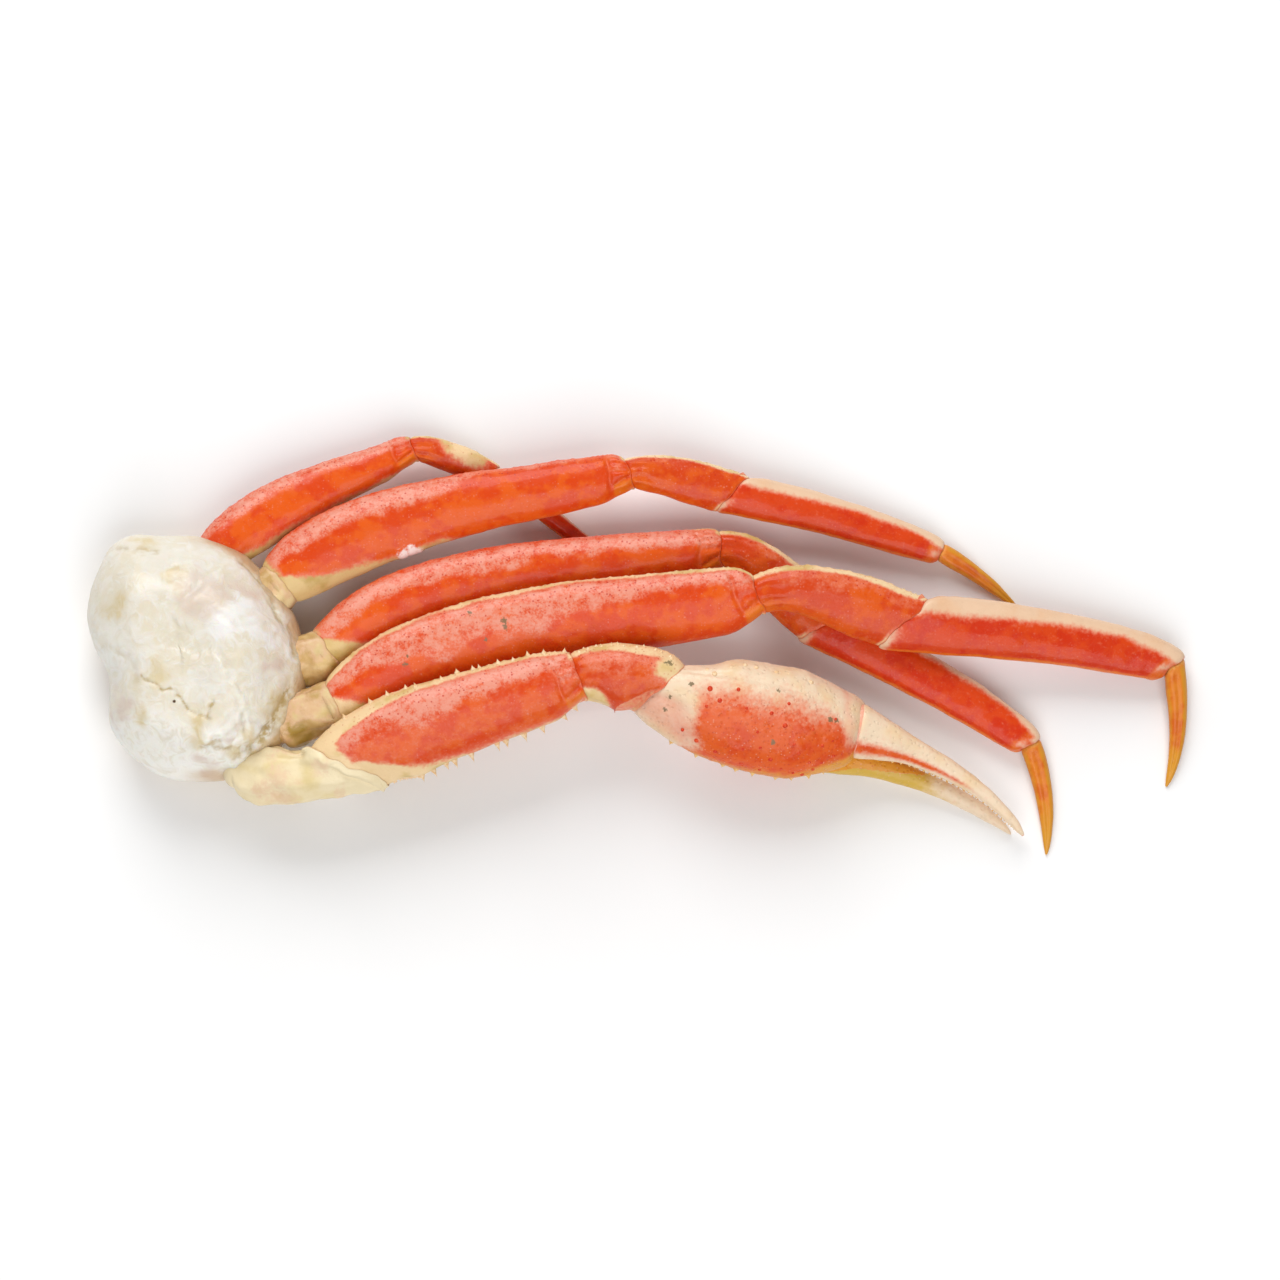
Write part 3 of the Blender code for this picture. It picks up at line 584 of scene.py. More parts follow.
# %% [markdown]
# ## Painting by nodes
#
# A boiled shell is one hard wet skin, so one kind of finish serves all of them: a base of two reds
# that drift into each other, and on top of it layers that a mask lets through. A small class keeps
# the current colour and lays the next layer over it, the way glazes go on a pot.

# %% A finish that is built up in layers
class Finish:
    """A Principled material: each call lays one more colour, roughness or height over the last."""

    def __init__(self, name, colour, roughness, coat=0.0, coat_roughness=0.1, specular=0.5):
        self.material = bpy.data.materials.new(name)
        self.material.use_nodes = True
        self.tree = self.material.node_tree
        self.shader = self.tree.nodes["Principled BSDF"]
        self.shader.inputs["Coat Weight"].default_value = coat
        self.shader.inputs["Coat Roughness"].default_value = coat_roughness
        self.shader.inputs["Specular IOR Level"].default_value = specular
        self.colour, self.roughness, self.bump = colour, roughness, None
        self.place = self.node("ShaderNodeTexCoord").outputs["Object"]

    def node(self, kind, inputs=None, **settings):
        made = self.tree.nodes.new(kind)
        for key, value in settings.items():
            setattr(made, key, value)
        for key, value in (inputs or {}).items():
            if isinstance(value, bpy.types.NodeSocket):
                self.tree.links.new(value, made.inputs[key])
            else:
                made.inputs[key].default_value = value
        return made

    def attribute(self, name):
        return self.node("ShaderNodeAttribute", attribute_name=name).outputs["Fac"]

    def noise(self, size, detail=3.0, distortion=0.0):
        """Noise whose blotches are about this many millimetres across."""
        inputs = {"Vector": self.place, "Scale": 1 / (size * MM), "Detail": detail, "Distortion": distortion}
        return self.node("ShaderNodeTexNoise", inputs).outputs["Fac"]

    def cells(self, size):
        """Distance to the middle of the nearest cell, and a random number for each cell."""
        made = self.node("ShaderNodeTexVoronoi", {"Vector": self.place, "Scale": 1 / (size * MM)})
        pick = self.node("ShaderNodeSeparateColor", {"Color": made.outputs["Color"]})
        return made.outputs["Distance"], pick.outputs[0]

    def joined(self, operation, values):
        """All the values joined from the left, two at a time."""
        def join(first, second):
            return self.node("ShaderNodeMath", {0: first, 1: second}, operation=operation).outputs[0]
        return reduce(join, values)

    def sum(self, *values):
        return self.joined("ADD", values)

    def product(self, *values):
        return self.joined("MULTIPLY", values)

    def swing(self, noise, strength):
        """A noise about zero: (noise - 0.5) times its strength."""
        return self.product(self.sum(noise, -0.5), strength)

    def ramp(self, value, low, high, bottom=0.0, top=1.0):
        """A smooth step from bottom to top as the value goes from low to high."""
        inputs = {"Value": value, "From Min": low, "From Max": high, "To Min": bottom, "To Max": top}
        return self.node("ShaderNodeMapRange", inputs, interpolation_type="SMOOTHSTEP").outputs["Result"]

    def ragged(self, name, noise, strength, low, high):
        """A painted mask whose border a noise has roughened."""
        return self.ramp(self.sum(self.attribute(name), self.swing(noise, strength)), low, high)

    def blend(self, mask, first, second):
        made = self.node("ShaderNodeMix", data_type="RGBA")
        for index, value in ((0, mask), (6, first), (7, second)):
            if isinstance(value, bpy.types.NodeSocket):
                self.tree.links.new(value, made.inputs[index])
            else:
                made.inputs[index].default_value = (*value, 1.0) if index else value
        return made.outputs[2]

    def paint(self, mask, colour):
        self.colour = self.blend(mask, self.colour, colour)

    def relief(self, height, depth):
        """A bump of the given depth in millimetres over the last one."""
        inputs = {"Height": height, "Distance": depth * MM, "Strength": 1.0}
        if self.bump:
            inputs["Normal"] = self.bump
        self.bump = self.node("ShaderNodeBump", inputs).outputs["Normal"]

    def done(self):
        for key, value in (("Base Color", self.colour), ("Roughness", self.roughness), ("Normal", self.bump)):
            if isinstance(value, bpy.types.NodeSocket):
                self.tree.links.new(value, self.shader.inputs[key])
            elif value is not None:
                self.shader.inputs[key].default_value = (*value, 1.0) if key == "Base Color" else value
        return self.material


# %% [markdown]
# ## The colours of a boiled shell
#
# Heat turns a crab's brown pigment red, but the thin places stay cream: the lower edge, the rims and
# the neck. The upper side has a salmon bloom and rows of tiny dark red pores, and salt and air leave
# pale flecks. Along the upper third a painted sheen, a painted highlight in salmon and pale pink, lies
# over the bloom. Pits as fine as orange peel break up the gloss.

# %% The shell finish
DEEP_RED, RED, ORANGE = (0.60, 0.030, 0.003), (0.68, 0.055, 0.003), (0.75, 0.100, 0.004)
SALMON, CREAM, OLIVE_CREAM = (0.75, 0.18, 0.095), (0.84, 0.61, 0.34), (0.62, 0.43, 0.14)
# The pale fleck colour on the next line also paints the highlight of the sheen.
PORE_RED, FLECK_AND_SHEEN, GOLD = (0.50, 0.020, 0.005), (0.80, 0.37, 0.28), (0.76, 0.18, 0.010)
MEMBRANE, SALT, SPECK = (0.72, 0.14, 0.06), (0.94, 0.84, 0.80), (0.17, 0.13, 0.06)


# frost: one colour for the shell's own pale flecks and for the painted highlight of its sheen.
def shell_finish(name, dark, light, pale=CREAM, stain=OLIVE_CREAM, bloom=SALMON, gold=GOLD, seam=MEMBRANE,
                 frost=FLECK_AND_SHEEN, horn=None, flecks=0.3, pits=0.05, pit_size=0.6, speckled_sheen=0.0, border=(0.30, 0.85)):
    """Glazes from the deepest up: two reds, bloom, painted sheen, gold, cream, horn, pores, flecks, rim,
    marks.
    """
    f = Finish(name, dark, 0.40, coat=0.20, coat_roughness=0.12, specular=0.16)
    cloud, mottle, fine = f.noise(9.0, 2.0), f.noise(2.4, 5.0), f.noise(0.8, 4.0)
    f.paint(f.ramp(f.sum(cloud, f.swing(mottle, 0.7)), 0.38, 0.62), light)
    f.paint(f.product(f.ramp(fine, 0.56, 0.72), 0.12), bloom)
    # The bloom mask is the real salmon tint plus a painted sheen; where strongest, a painted highlight goes
    # on.
    cover = f.product(f.attribute("bloom"), f.sum(f.swing(mottle, 2.4), f.swing(fine, 1.6), 1.0))
    f.paint(f.product(f.ramp(cover, 0.10, 0.90), 0.70), bloom)
    f.paint(f.product(f.ramp(cover, 0.65, 1.35), 0.60), frost)
    # Speckled painted sheen: fine specks of the frost colour over the strongest bloom, a painted highlight.
    if speckled_sheen:
        f.paint(f.product(f.ramp(cover, 0.20, 0.75), f.ramp(f.noise(0.5, 5.0), 0.40, 0.62), speckled_sheen), frost)
    f.paint(f.ragged("gold", mottle, 0.6, 0.2, 0.9), gold)
    band = f.sum(f.attribute("cream"), f.swing(f.noise(1.6, 4.0), 0.5), f.swing(fine, 0.35))
    cream = f.blend(f.ramp(f.noise(7.0, 3.0), 0.46, 0.74), pale, stain)
    f.paint(f.product(f.ramp(band, 0.02, 0.48), 0.8), bloom)
    f.paint(f.ramp(band, *border), cream)
    if horn:
        f.paint(f.ragged("horn", mottle, 0.8, 0.15, 0.75), horn)
    distance, pick = f.cells(1.0)
    pore = f.product(f.ramp(distance, 0.30, 0.16), f.ramp(pick, 0.35, 0.45))
    f.paint(f.product(pore, f.attribute("pores"), 0.8), PORE_RED)
    distance, pick = f.cells(0.7)
    fleck = f.product(f.ramp(distance, 0.40, 0.10), f.ramp(pick, 0.62, 0.74))
    f.paint(f.product(fleck, f.ramp(f.noise(3.0), 0.38, 0.60), flecks), frost)
    f.paint(f.product(f.attribute("rim"), 0.8), f.blend(f.noise(1.2), seam, bloom))
    f.paint(f.ragged("salt", fine, 1.2, 0.25, 0.75), SALT)
    speck = f.ragged("speck", f.noise(0.6, 3.0), 2.2, 0.25, 0.65)
    f.paint(f.product(speck, f.ramp(f.attribute("speck"), 0.08, 0.30), 0.85), SPECK)
    f.roughness = f.ramp(mottle, 0.3, 0.7, 0.30, 0.48)
    f.relief(mottle, 0.14)
    pit, _ = f.cells(pit_size)
    f.relief(f.ramp(pit, 0.0, 0.40), pits)
    f.relief(fine, 0.05)
    return f.done()


finishes = {
    # The merus and knee shells carry a speckled painted sheen of the given strength.
    "merus": shell_finish("boiled_shell", RED, ORANGE, speckled_sheen=0.4),
    "carpus": shell_finish("knee_shell", (0.62, 0.050, 0.003), (0.70, 0.092, 0.004), speckled_sheen=0.2),
    "propodus": shell_finish("shin_shell", DEEP_RED, (0.66, 0.052, 0.003), pale=(0.78, 0.53, 0.35),
                             stain=(0.77, 0.48, 0.29), flecks=0.12, border=(0.22, 0.95)),
    "dactyl": shell_finish("horn_tip", (0.62, 0.125, 0.010), (0.70, 0.205, 0.016), pale=(0.84, 0.50, 0.14),
                           stain=(0.70, 0.32, 0.04), bloom=(0.76, 0.24, 0.035), gold=(0.66, 0.29, 0.022),
                           flecks=0.1, pits=0.03, seam=(0.72, 0.26, 0.08), frost=(0.84, 0.40, 0.14)),
    "base": shell_finish("joint_cream", (0.54, 0.34, 0.13), (0.68, 0.48, 0.22), pale=(0.74, 0.57, 0.30),
                         stain=(0.56, 0.40, 0.13), bloom=(0.72, 0.46, 0.28), gold=(0.38, 0.24, 0.05),
                         flecks=0.1, seam=(0.44, 0.27, 0.12), frost=(0.80, 0.62, 0.44)),
    "claw_base": shell_finish("claw_joint_cream", (0.72, 0.55, 0.28), (0.80, 0.63, 0.36),
                              pale=(0.84, 0.71, 0.46), stain=(0.76, 0.61, 0.31), bloom=(0.80, 0.56, 0.38),
                              gold=(0.64, 0.46, 0.18), flecks=0.1, seam=(0.56, 0.38, 0.18),
                              frost=(0.86, 0.72, 0.52)),
    "palm": shell_finish("claw_shell", (0.68, 0.065, 0.006), (0.74, 0.105, 0.010), pale=(0.84, 0.66, 0.47),
                         stain=(0.82, 0.60, 0.36), bloom=(0.78, 0.20, 0.10), gold=(0.72, 0.30, 0.03),
                         flecks=0.4, pits=0.16, pit_size=1.3, seam=(0.80, 0.46, 0.36),
                         frost=(0.88, 0.52, 0.40), horn=(0.66, 0.42, 0.07), border=(0.12, 1.05)),
}
finishes["finger"] = finishes["palm"]
# The olive-creamed merus of legs 3 to 5 carries the same speckled painted sheen.
olive_shell = shell_finish("boiled_shell_olive", RED, ORANGE, pale=(0.70, 0.50, 0.22),
                           stain=(0.50, 0.33, 0.08), speckled_sheen=0.4)
finishes.update({f"{limb}_merus": olive_shell for limb in ("leg_3", "leg_4", "leg_5")})
print("finishes:", sorted(finishes))

# %% [markdown]
# ## Where each shell is pale, rosy with a painted sheen, or beaded
#
# The cosine of the angle is 1 on the upper edge of a shell and -1 on the lower one, and the sine is 1
# on the face that looks up. Bands are laid out in those two numbers and in the share of length, and
# their borders are roughened later by the noise of the finish.

# %% Masks and relief of each kind of shell
# where pale borders start on the upper and on the lower side of each long shell: share of length,
# and place across it, from 1 on the upper edge to -1 on the lower one
UPPER_PALE = {
    "claw": ((0, 0.55), (0.10, 0.74), (0.3, 0.88), (0.6, 0.96), (1, 0.94)),
    "leg_2": ((0, 0.90), (0.2, 0.965), (0.7, 0.965), (0.95, 0.93), (1, 0.86)),
    "leg_3": ((0, 1.1), (0.8, 1.1), (1, 0.95)),
    "leg_4": ((0, 1.2), (0.9, 1.2), (1, 1.0)),
    "leg_5": ((0, 1.2), (1, 1.2)),
}
LOWER_PALE = {
    "claw": ((0, 0.2), (0.08, -0.20), (0.18, -0.52), (0.35, -0.82), (0.5, -0.93), (0.9, -0.93), (1, -0.7)),
    "leg_2": ((0, 0.45), (0.04, -0.10), (0.08, -0.60), (0.13, -0.98), (0.2, -1.2), (1, -1.2)),
    "leg_3": ((0, 0.60), (0.04, 0.10), (0.09, -0.35), (0.15, -0.74), (0.22, -1.0), (0.3, -1.2), (1, -1.2)),
    "leg_4": ((0, 0.35), (0.05, -0.22), (0.12, -0.60), (0.3, -0.80), (0.48, -0.92), (0.6, -1.2), (1, -1.2)),
    "leg_5": ((0, -0.5), (0.2, -0.78), (0.6, -0.86), (1, -0.92)),
}
# share of length at which the red starts, and how much later it does so towards both edges
RED_START = {"claw": (0.045, 0.10), "leg_2": (-0.02, 0.02), "leg_3": (-0.01, 0.02), "leg_4": (-0.01, 0.02),
             "leg_5": (-0.1, 0.0)}
# place across each limb at which the painted sheen, a painted highlight on its upper third, ends
SHEEN_END = {
    "claw": ((0, 0.45), (0.3, 0.30), (0.6, 0.45), (1, 0.55)),
    "leg_2": ((0, 0.55), (0.12, 0.25), (0.3, 0.05), (0.5, 0.10), (0.65, 0.45), (1, 0.60)),
    "leg_3": ((0, 0.40), (0.5, 0.48), (1, 0.50)),
    "leg_4": ((0, 0.42), (0.42, 0.50), (0.55, 0.78), (0.7, 1.05), (1, 1.10)),
    "leg_5": ((0, 0.50), (1, 0.55)),
}
SHIN_PALE = {"leg_2": 0.40, "leg_3": 0.74, "leg_4": 0.50, "leg_5": 0.70}
SHIN_PALE_RISE, SHIN_PALE_FALL = 0.08, 0.30  # how much that border rises along a shin, and falls at its end
KNEE_FOLD = 5.4  # how far before its end a long shell has the crease of its knee, in millimetres
BEAD_STEP = 1.3  # from bead to bead on the upper edge
LARGE = ("leg_2", "claw")  # the limbs with the larger beads and knees

# marks on one shell: x, y and reach in millimetres
SALT_SPOTS = {("leg_4", "merus"): ((-59.3, 19.6, 1.7), (-57.2, 20.5, 1.7), (-55.4, 21.0, 0.8))}
SPECKS = {
    ("leg_2", "merus"): ((-42.6, 4.0, 0.55), (-34.1, 2.0, 0.8), (-33.7, 0.3, 0.65), (-38.6, -2.5, 0.55),
                         (-58.4, -8.6, 0.6), (-58.0, -6.7, 0.45)),
    ("claw", "carpus"): ((7.1, -8.9, 0.7), (6.1, -9.1, 0.5)),
    ("claw", "palm"): ((12.15, -14.1, 0.6), (5.5, -20.6, 0.6), (6.9, -17.3, 0.5), (33.6, -15.7, 0.55),
                       (46.6, -22.4, 0.7), (47.95, -22.6, 0.6), (32.4, -28.2, 0.6)),
}


def marks_on(points, spots, limb, kind):
    """The soft round marks of one shell, straight down through it, or none."""
    places = spots.get((limb, kind))
    return patches(points[..., 0], points[..., 1], places) if places else np.zeros(points.shape[:-1])


def from_edge(angle, edge):
    """The angle measured from an edge, between -pi and pi."""
    return (angle - edge + math.pi) % (2 * math.pi) - math.pi


def along_line(share, stops):
    return np.interp(share, *zip(*stops))


def fold_wander(loft):
    """How far the crease of a knee strays from its ring, in millimetres."""
    return 1.1 * drift(loft.grid, 4.5, 47) + 0.4 * drift(loft.grid, 1.8, 48)


def most(*masks):
    """The greatest of several masks at each point."""
    return reduce(np.maximum, masks)


def knee_notch(share, edge):
    """The V of soft skin at the far end of the claw's knee: it starts nearer the body on the lower edge."""
    return ease(-0.03, 0.05, share - 0.64 - 0.32 * (edge + 0.9)) * ease(0.40, 0.15, edge)


def shell_masks(limb, kind, loft):
    """The painted masks of one shell, near 0 where a colour is absent and near 1 where it covers."""
    share, left = loft.share, (1 - loft.share) * loft.length
    edge, under = np.cos(loft.angle), ease(0.2, -0.4, np.sin(loft.angle))
    wander = 0.10 * drift(loft.grid, 5.0, 43)
    # sheen: a painted highlight along the upper third, added to the bloom mask with the real salmon tint
    sheen_end = along_line(share, SHEEN_END[limb]) - 0.22 * rough_drift(loft.grid, 8.0, 41)
    sheen = ease(-0.11, 0.12, edge - sheen_end) * ease(1.02, 0.90, edge)
    bloom = (0.54 * sheen + 0.38 * ease(-0.34, 0.25, edge - sheen_end)) * (1 - 0.5 * under) + 0.05
    pores = ease(0.25, 0.70, edge) * ease(0.03, 0.10, share)
    gold = 0.45 * ease(-0.60, -0.98, edge)
    rim, none = ease(0.45, 0.0, left), 0 * share
    if kind == "merus":
        high = ease(-0.07, 0.07, edge - along_line(share, UPPER_PALE[limb]) + 0.4 * wander)
        low = ease(0.26, -0.22, edge - along_line(share, LOWER_PALE[limb]) + wander - 0.35 * under)
        start, later = RED_START[limb]
        start = start + later * np.abs(edge) ** 3 + 0.2 * wander
        lips = 0.8 * ease(2.4, 0.4, left) * ease(0.62, 0.95, np.abs(edge + 0.05))
        cream = most(high, low, ease(0.035, -0.03, share - start), lips)
        knee = ease(KNEE_FOLD + 0.5, KNEE_FOLD - 0.8, left)
        line = bell(left - KNEE_FOLD - fold_wander(loft), 0.35)
        rim = most(rim, 0.5 * line * ease(-0.55, -0.15, edge) * ease(0.95, 0.7, edge))
        bloom = bloom * (1 - 0.6 * knee) + 0.35 * knee * ease(-0.1, 0.3, edge)
        gold = most(gold, 0.7 * knee * ease(-0.10, -0.45, edge))
    elif kind == "carpus":
        cream = most(0.85 * ease(0.78, 0.98, edge + 0.05 * share + 0.5 * wander),
                     0.7 * ease(1.6, 0.3, left) * ease(0.0, -0.8, edge))
        gold = most(gold, 0.5 * ease(0.35, 0.05, share) * ease(0.1, -0.6, edge))
        bloom = 0.45 * bloom * ease(0.0, 0.3, share)
        if limb == "leg_5":
            saddle = ease(0.25, 0.5, share + wander) * ease(0.98, 0.7, share) * ease(-0.5, 0.3, edge)
            cream = most(cream, 0.85 * saddle)
        if limb == "claw":
            corner = ease(0.62, 0.88, share + 0.35 * wander) * ease(0.15, 0.65, edge + wander)
            root = ease(0.34, 0.16, share + wander) * ease(-0.05, -0.45, edge)
            notch = knee_notch(share, edge)
            cream = most(cream, corner, root, 0.5 * notch)
            rim = most(rim, 0.45 * notch * ease(0.3, -0.3, edge))
    elif kind == "propodus":
        rise, fall = SHIN_PALE_RISE * ease(0.2, 0.6, share), SHIN_PALE_FALL * ease(0.80, 1.0, share)
        border = ease(-0.34, 0.22, edge - (SHIN_PALE[limb] - fall + rise) + 0.8 * wander)
        corner = ease(3.0, 1.0, left + 4 * wander) * ease(-0.2, 0.4, edge)
        knob = bell(edge + 0.25, 0.35) * ease(3.4, 2.2, left)
        knee = ease(0.06, 0.0, share + 0.2 * wander) * ease(0.2, -0.7, edge)
        cream = most(border, 0.75 * corner, 0.55 * knob, 0.8 * knee)
        gold = most(0.8 * ease(-0.78, -0.98, edge), 0.6 * ease(6.0, 2.0, left))
        bloom, pores = 0.15 * bloom * ease(0.0, 0.5, share), 0.6 * ease(-0.6, -0.9, edge)
    elif kind == "dactyl":
        cream, bloom, pores, rim = 0.55 * ease(0.10, 0.0, share), 0.5 * ease(0.3, 0.0, share), none, none
        gold = most(0.7 * ease(0.15, 0.65, edge), 0.6 * ease(-0.45, -0.85, edge),
                    0.95 * ease(0.35, 0.85, share + wander))
    elif kind == "base":
        patchy = rough_drift(loft.grid, 5.0, 45)
        cream, pores = (0.90 + 0.45 * patchy) if limb == "claw" else (0.15 + 0.9 * patchy), none
        bloom = 0.9 * ease(0.75, 0.35, share) * ease(-0.5, 0.3, edge)
        gold = most(0.8 * ease(-0.3, -0.95, edge), 0.7 * ease(0.55, 0.25, share) * ease(0.2, -0.4, edge))
        gold = gold + 0.6 * rough_drift(loft.grid, 4.0, 49)
        if limb == "claw":
            gold, bloom = 0.35 * gold, 0.5 * bloom
    else:
        stripe = bell(edge + 0.52 - 0.15 * share, 0.26) * ease(0.85, 0.35, share + wander)
        cream, bloom, pores, gold = 1.0 - 0.95 * stripe * (1 - under), 0.15 + none, none, none
    if limb == "claw" and kind in ("merus", "carpus"):
        bloom = bloom + 0.20
    return {
        "cream": cream, "bloom": bloom, "gold": gold, "pores": pores * (1 - 0.6 * cream),
        "rim": np.where(loft.body[:, None], rim, 1.0 * (kind != "base")),
        "salt": marks_on(loft.grid, SALT_SPOTS, limb, kind), "speck": marks_on(loft.grid, SPECKS, limb, kind),
    }


def shell_relief(limb, kind, loft):
    """Outward push in millimetres: slow unevenness, beads on the upper edge, and the folds of a knee."""
    share, angle, along = loft.share, loft.angle, loft.share * loft.length
    left, edge, up = loft.length - along, np.cos(angle), np.sin(angle)
    push = 0.20 * rough_drift(loft.grid, 7.0, 3) + 0.05 * drift(loft.grid, 1.6, 9)
    push = push + 0.5 * marks_on(loft.grid, SALT_SPOTS, limb, kind)
    if kind in ("merus", "carpus"):
        bead = np.maximum(0, np.cos(2 * math.pi * (along / BEAD_STEP + 0.3 * drift(loft.grid, 4.0, 5)))) ** 2
        row = bell(from_edge(angle, 0.0), 0.16) * ease(0.02, 0.08, share) * ease(0.99, 0.94, share)
        push = push + (0.30 if limb in LARGE else 0.15) * bead * row
    if kind == "merus":
        top = ease(-0.2, 0.3, up)
        fold = bell(left - KNEE_FOLD - fold_wander(loft), 0.6)
        push = push - 0.5 * fold * top * ease(-0.6, -0.2, edge) * ease(1.0, 0.75, edge)
        lobe = bell(edge + 0.28 + 0.05 * (left - 3), 0.12) * ease(KNEE_FOLD + 1, KNEE_FOLD - 1, left)
        push = push - 0.5 * lobe * top + 0.25 * top * ease(KNEE_FOLD, 2.5, left) * ease(-0.35, -0.6, edge)
        push = push - (1.3 if limb in LARGE else 0.8) * ease(10.0, 2.5, left) * ease(-0.3, -0.9, edge)
        ripple = np.cos(2 * math.pi * (edge / 0.34 + 0.4 * drift(loft.grid, 4.0, 53)))
        push = push + 0.16 * ripple * top * ease(KNEE_FOLD, KNEE_FOLD - 1.5, left) * ease(-0.25, 0.0, edge)
    if kind == "carpus":
        spread = np.cos(edge * 11 + 2 * drift(loft.grid, 5.0, 55)) * ease(0.42, 0.05, share)
        notch = 0.8 * knee_notch(share, edge) * (limb == "claw")
        push = push + (0.16 * spread - notch) * ease(0.0, 0.4, up)
    if kind == "base":
        push = push + 0.9 * rough_drift(loft.grid, 6.5, 57)
        push = push + 0.25 * np.cos(angle * 7 + 2.5 * drift(loft.grid, 7.0, 63)) * ease(0.0, 0.3, up)
    if kind == "dactyl":
        groove = bell(from_edge(angle, 0.5 * math.pi), 0.35) * ease(0.02, 0.12, share)
        push = push * 0.4 - 0.35 * groove * ease(1.0, 0.7, share)
    return push * loft.body[:, None] * ease(0, 0.9, along) * ease(0, 3.0 if kind == "base" else 0.7, left)


# %% [markdown]
# ## The shells of the five limbs
#
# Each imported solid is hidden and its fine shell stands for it, in the same place.

# %% Lay down every shell but the palm
SPACING = 0.75
AROUND = 112
surfaces = {}  # the loft and the dressed grid of each shell, by limb and number


def dress_shell(limb, index):
    shell = LIMBS[limb][1][index]
    loft = loft_shell(limb, index, SPACING, AROUND)
    push = shell_relief(limb, shell.name, loft)
    grid = loft.grid + push[..., None] * outward(loft.grid)
    surfaces[limb, index] = loft, grid
    masks = shell_masks(limb, shell.name, loft)
    finish = finishes.get(f"{limb}_{shell.name}", finishes[shell.name])
    piece = grid_piece(f"{limb}_{shell.name}_shell", grid, finish, **masks)
    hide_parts(f"{limb}_{shell.name}")
    return piece


dressed = [
    dress_shell(limb, index)
    for limb, (_, shells) in LIMBS.items()
    for index, shell in enumerate(shells)
    if shell.name != "palm"
]
print("shells:", len(dressed), "faces:", sum(len(piece.data.polygons) for piece in dressed))

# %% [markdown]
# ## The palm and its fixed finger
#
# The palm swells and then runs out into a finger that cannot move. Two closed surfaces that overlap
# are melted into one by a voxel remesh, which leaves a soft blend where they meet. The share and the
# angle of each new point are found again from the nearest place on the palm's line.

# %% Melt the palm and the fixed finger together
VOXEL = 0.38
FINGER_AROUND = 64
LINE_PLACES, BATCHES = 300, 40  # places on the palm's line to choose from, and parts of that search
PALM_REACH = 1.25  # what lies further from the palm's line than this, in half sizes, is the finger


def fixed_finger_grid(spacing, around):
    low, high = (Joint(place, 10, 0, None) for place in FIXED_FINGER_ENDS)
    share = np.linspace(0, 1, int(math.dist(low.place, high.place) / spacing))
    (near,), (far,) = (centreline(low.place, high.place, FIXED_FINGER.arch, (t,))[1] for t in (0.0, 1.0))
    centres, planes, roll, stretch = section_planes(FIXED_FINGER, low, high, near, far, share)
    width = between(share, TIP_SHARE, FIXED_FINGER.width) * stretch
    depth = between(share, TIP_SHARE, FIXED_FINGER.depth)
    return rings_of(centres, planes, roll, width, depth, FIXED_FINGER.power, around)


def melted(name, grids, material, smoothing):
    """One piece from closed grids that overlap."""
    points, quads, fans, count = [], [], [], 0
    for grid in grids:
        q, f = grid_faces(*grid.shape[:2])
        points.append(with_poles(grid) + FRAME_SHIFT)
        quads.append(q + count)
        fans.append(f + count)
        count += len(points[-1])
    joined = new_piece(name, *(np.concatenate(rows) for rows in (points, quads, fans)), material)
    remesh = joined.modifiers.new("melt", "REMESH")
    remesh.mode, remesh.voxel_size = "VOXEL", VOXEL * MM
    smooth = joined.modifiers.new("soften", "SMOOTH")
    smooth.factor, smooth.iterations = 0.5, smoothing
    graph = bpy.context.evaluated_depsgraph_get()
    mesh = bpy.data.meshes.new_from_object(joined.evaluated_get(graph))
    joined.modifiers.clear()
    joined.data = mesh
    mesh.shade_smooth()
    return joined


def read_points(mesh):
    """Points and outward normals, in millimetres and without the frame's shift."""
    count = len(mesh.vertices)
    points, normals = np.empty(count * 3, np.float32), np.empty(count * 3, np.float32)
    mesh.vertices.foreach_get("co", points)
    mesh.vertices.foreach_get("normal", normals)
    return points.reshape(-1, 3) / MM - FRAME_SHIFT, normals.reshape(-1, 3).astype(float)


def place_on_line(points, shell, start, end):
    """Share, angle and distance in half sizes of points, from the nearest place on a shell's line."""
    share = np.linspace(0, 1, LINE_PLACES)
    line, slopes = centreline(start.place, end.place, shell.arch, share)
    nearest = np.concatenate([
        ((part[:, None, :] - line) ** 2).sum(-1).argmin(1) for part in np.array_split(points, BATCHES)
    ])
    across, out = across_and_out(slopes[nearest], start.roll + (end.roll - start.roll) * share[nearest])
    offset = points - line[nearest]
    width = between(share[nearest], shell.share, shell.width)
    depth = between(share[nearest], shell.share, shell.depth)
    x, y = (offset * across).sum(1) / width, (offset * out).sum(1) / depth
    return share[nearest], np.arctan2(y, x) % (2 * math.pi), np.hypot(x, y)


joints, shells = LIMBS["claw"]
palm_loft = loft_shell("claw", 3, SPACING, AROUND)
surfaces["claw", 3] = palm_loft, palm_loft.grid
solid_palm = palm_loft.grid[: -len(SOCKET_STEPS)]
fixed_finger = fixed_finger_grid(SPACING, FINGER_AROUND)
palm = melted("claw_palm_shell", [solid_palm, fixed_finger], finishes["palm"], 8)
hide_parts("claw_palm")
points, normals = read_points(palm.data)
share, angle, reach = place_on_line(points, shells[3], joints[3], joints[4])
across, up, hand = np.cos(angle), np.sin(angle), reach < PALM_REACH

# its relief: slow unevenness, the hollow at its knee, grain, and a ridge along its upper edge
push = 0.22 * rough_drift(points, 8.0, 21) + 0.06 * drift(points, 1.7, 23)
hollow = ease(0.20, 0.06, share + 0.12 * across) * hand
hollow = hollow * ease(-1.05, -0.7, across) * ease(0.25, -0.15, across)
push = push - 0.7 * hollow * ease(0.0, 0.4, up) + 0.10 * np.maximum(0, drift(points, 1.3, 25)) * hand
ridge_line = bell(across - 0.80 + 0.12 * share, 0.05) * ease(0.02, 0.12, share) * ease(0.8, 0.6, share)
push = push - 0.40 * ridge_line * ease(0.0, 0.3, up)
moved = in_frame(points + push[:, None] * normals)
palm.data.vertices.foreach_set("co", (moved * MM).astype(np.float32).ravel())

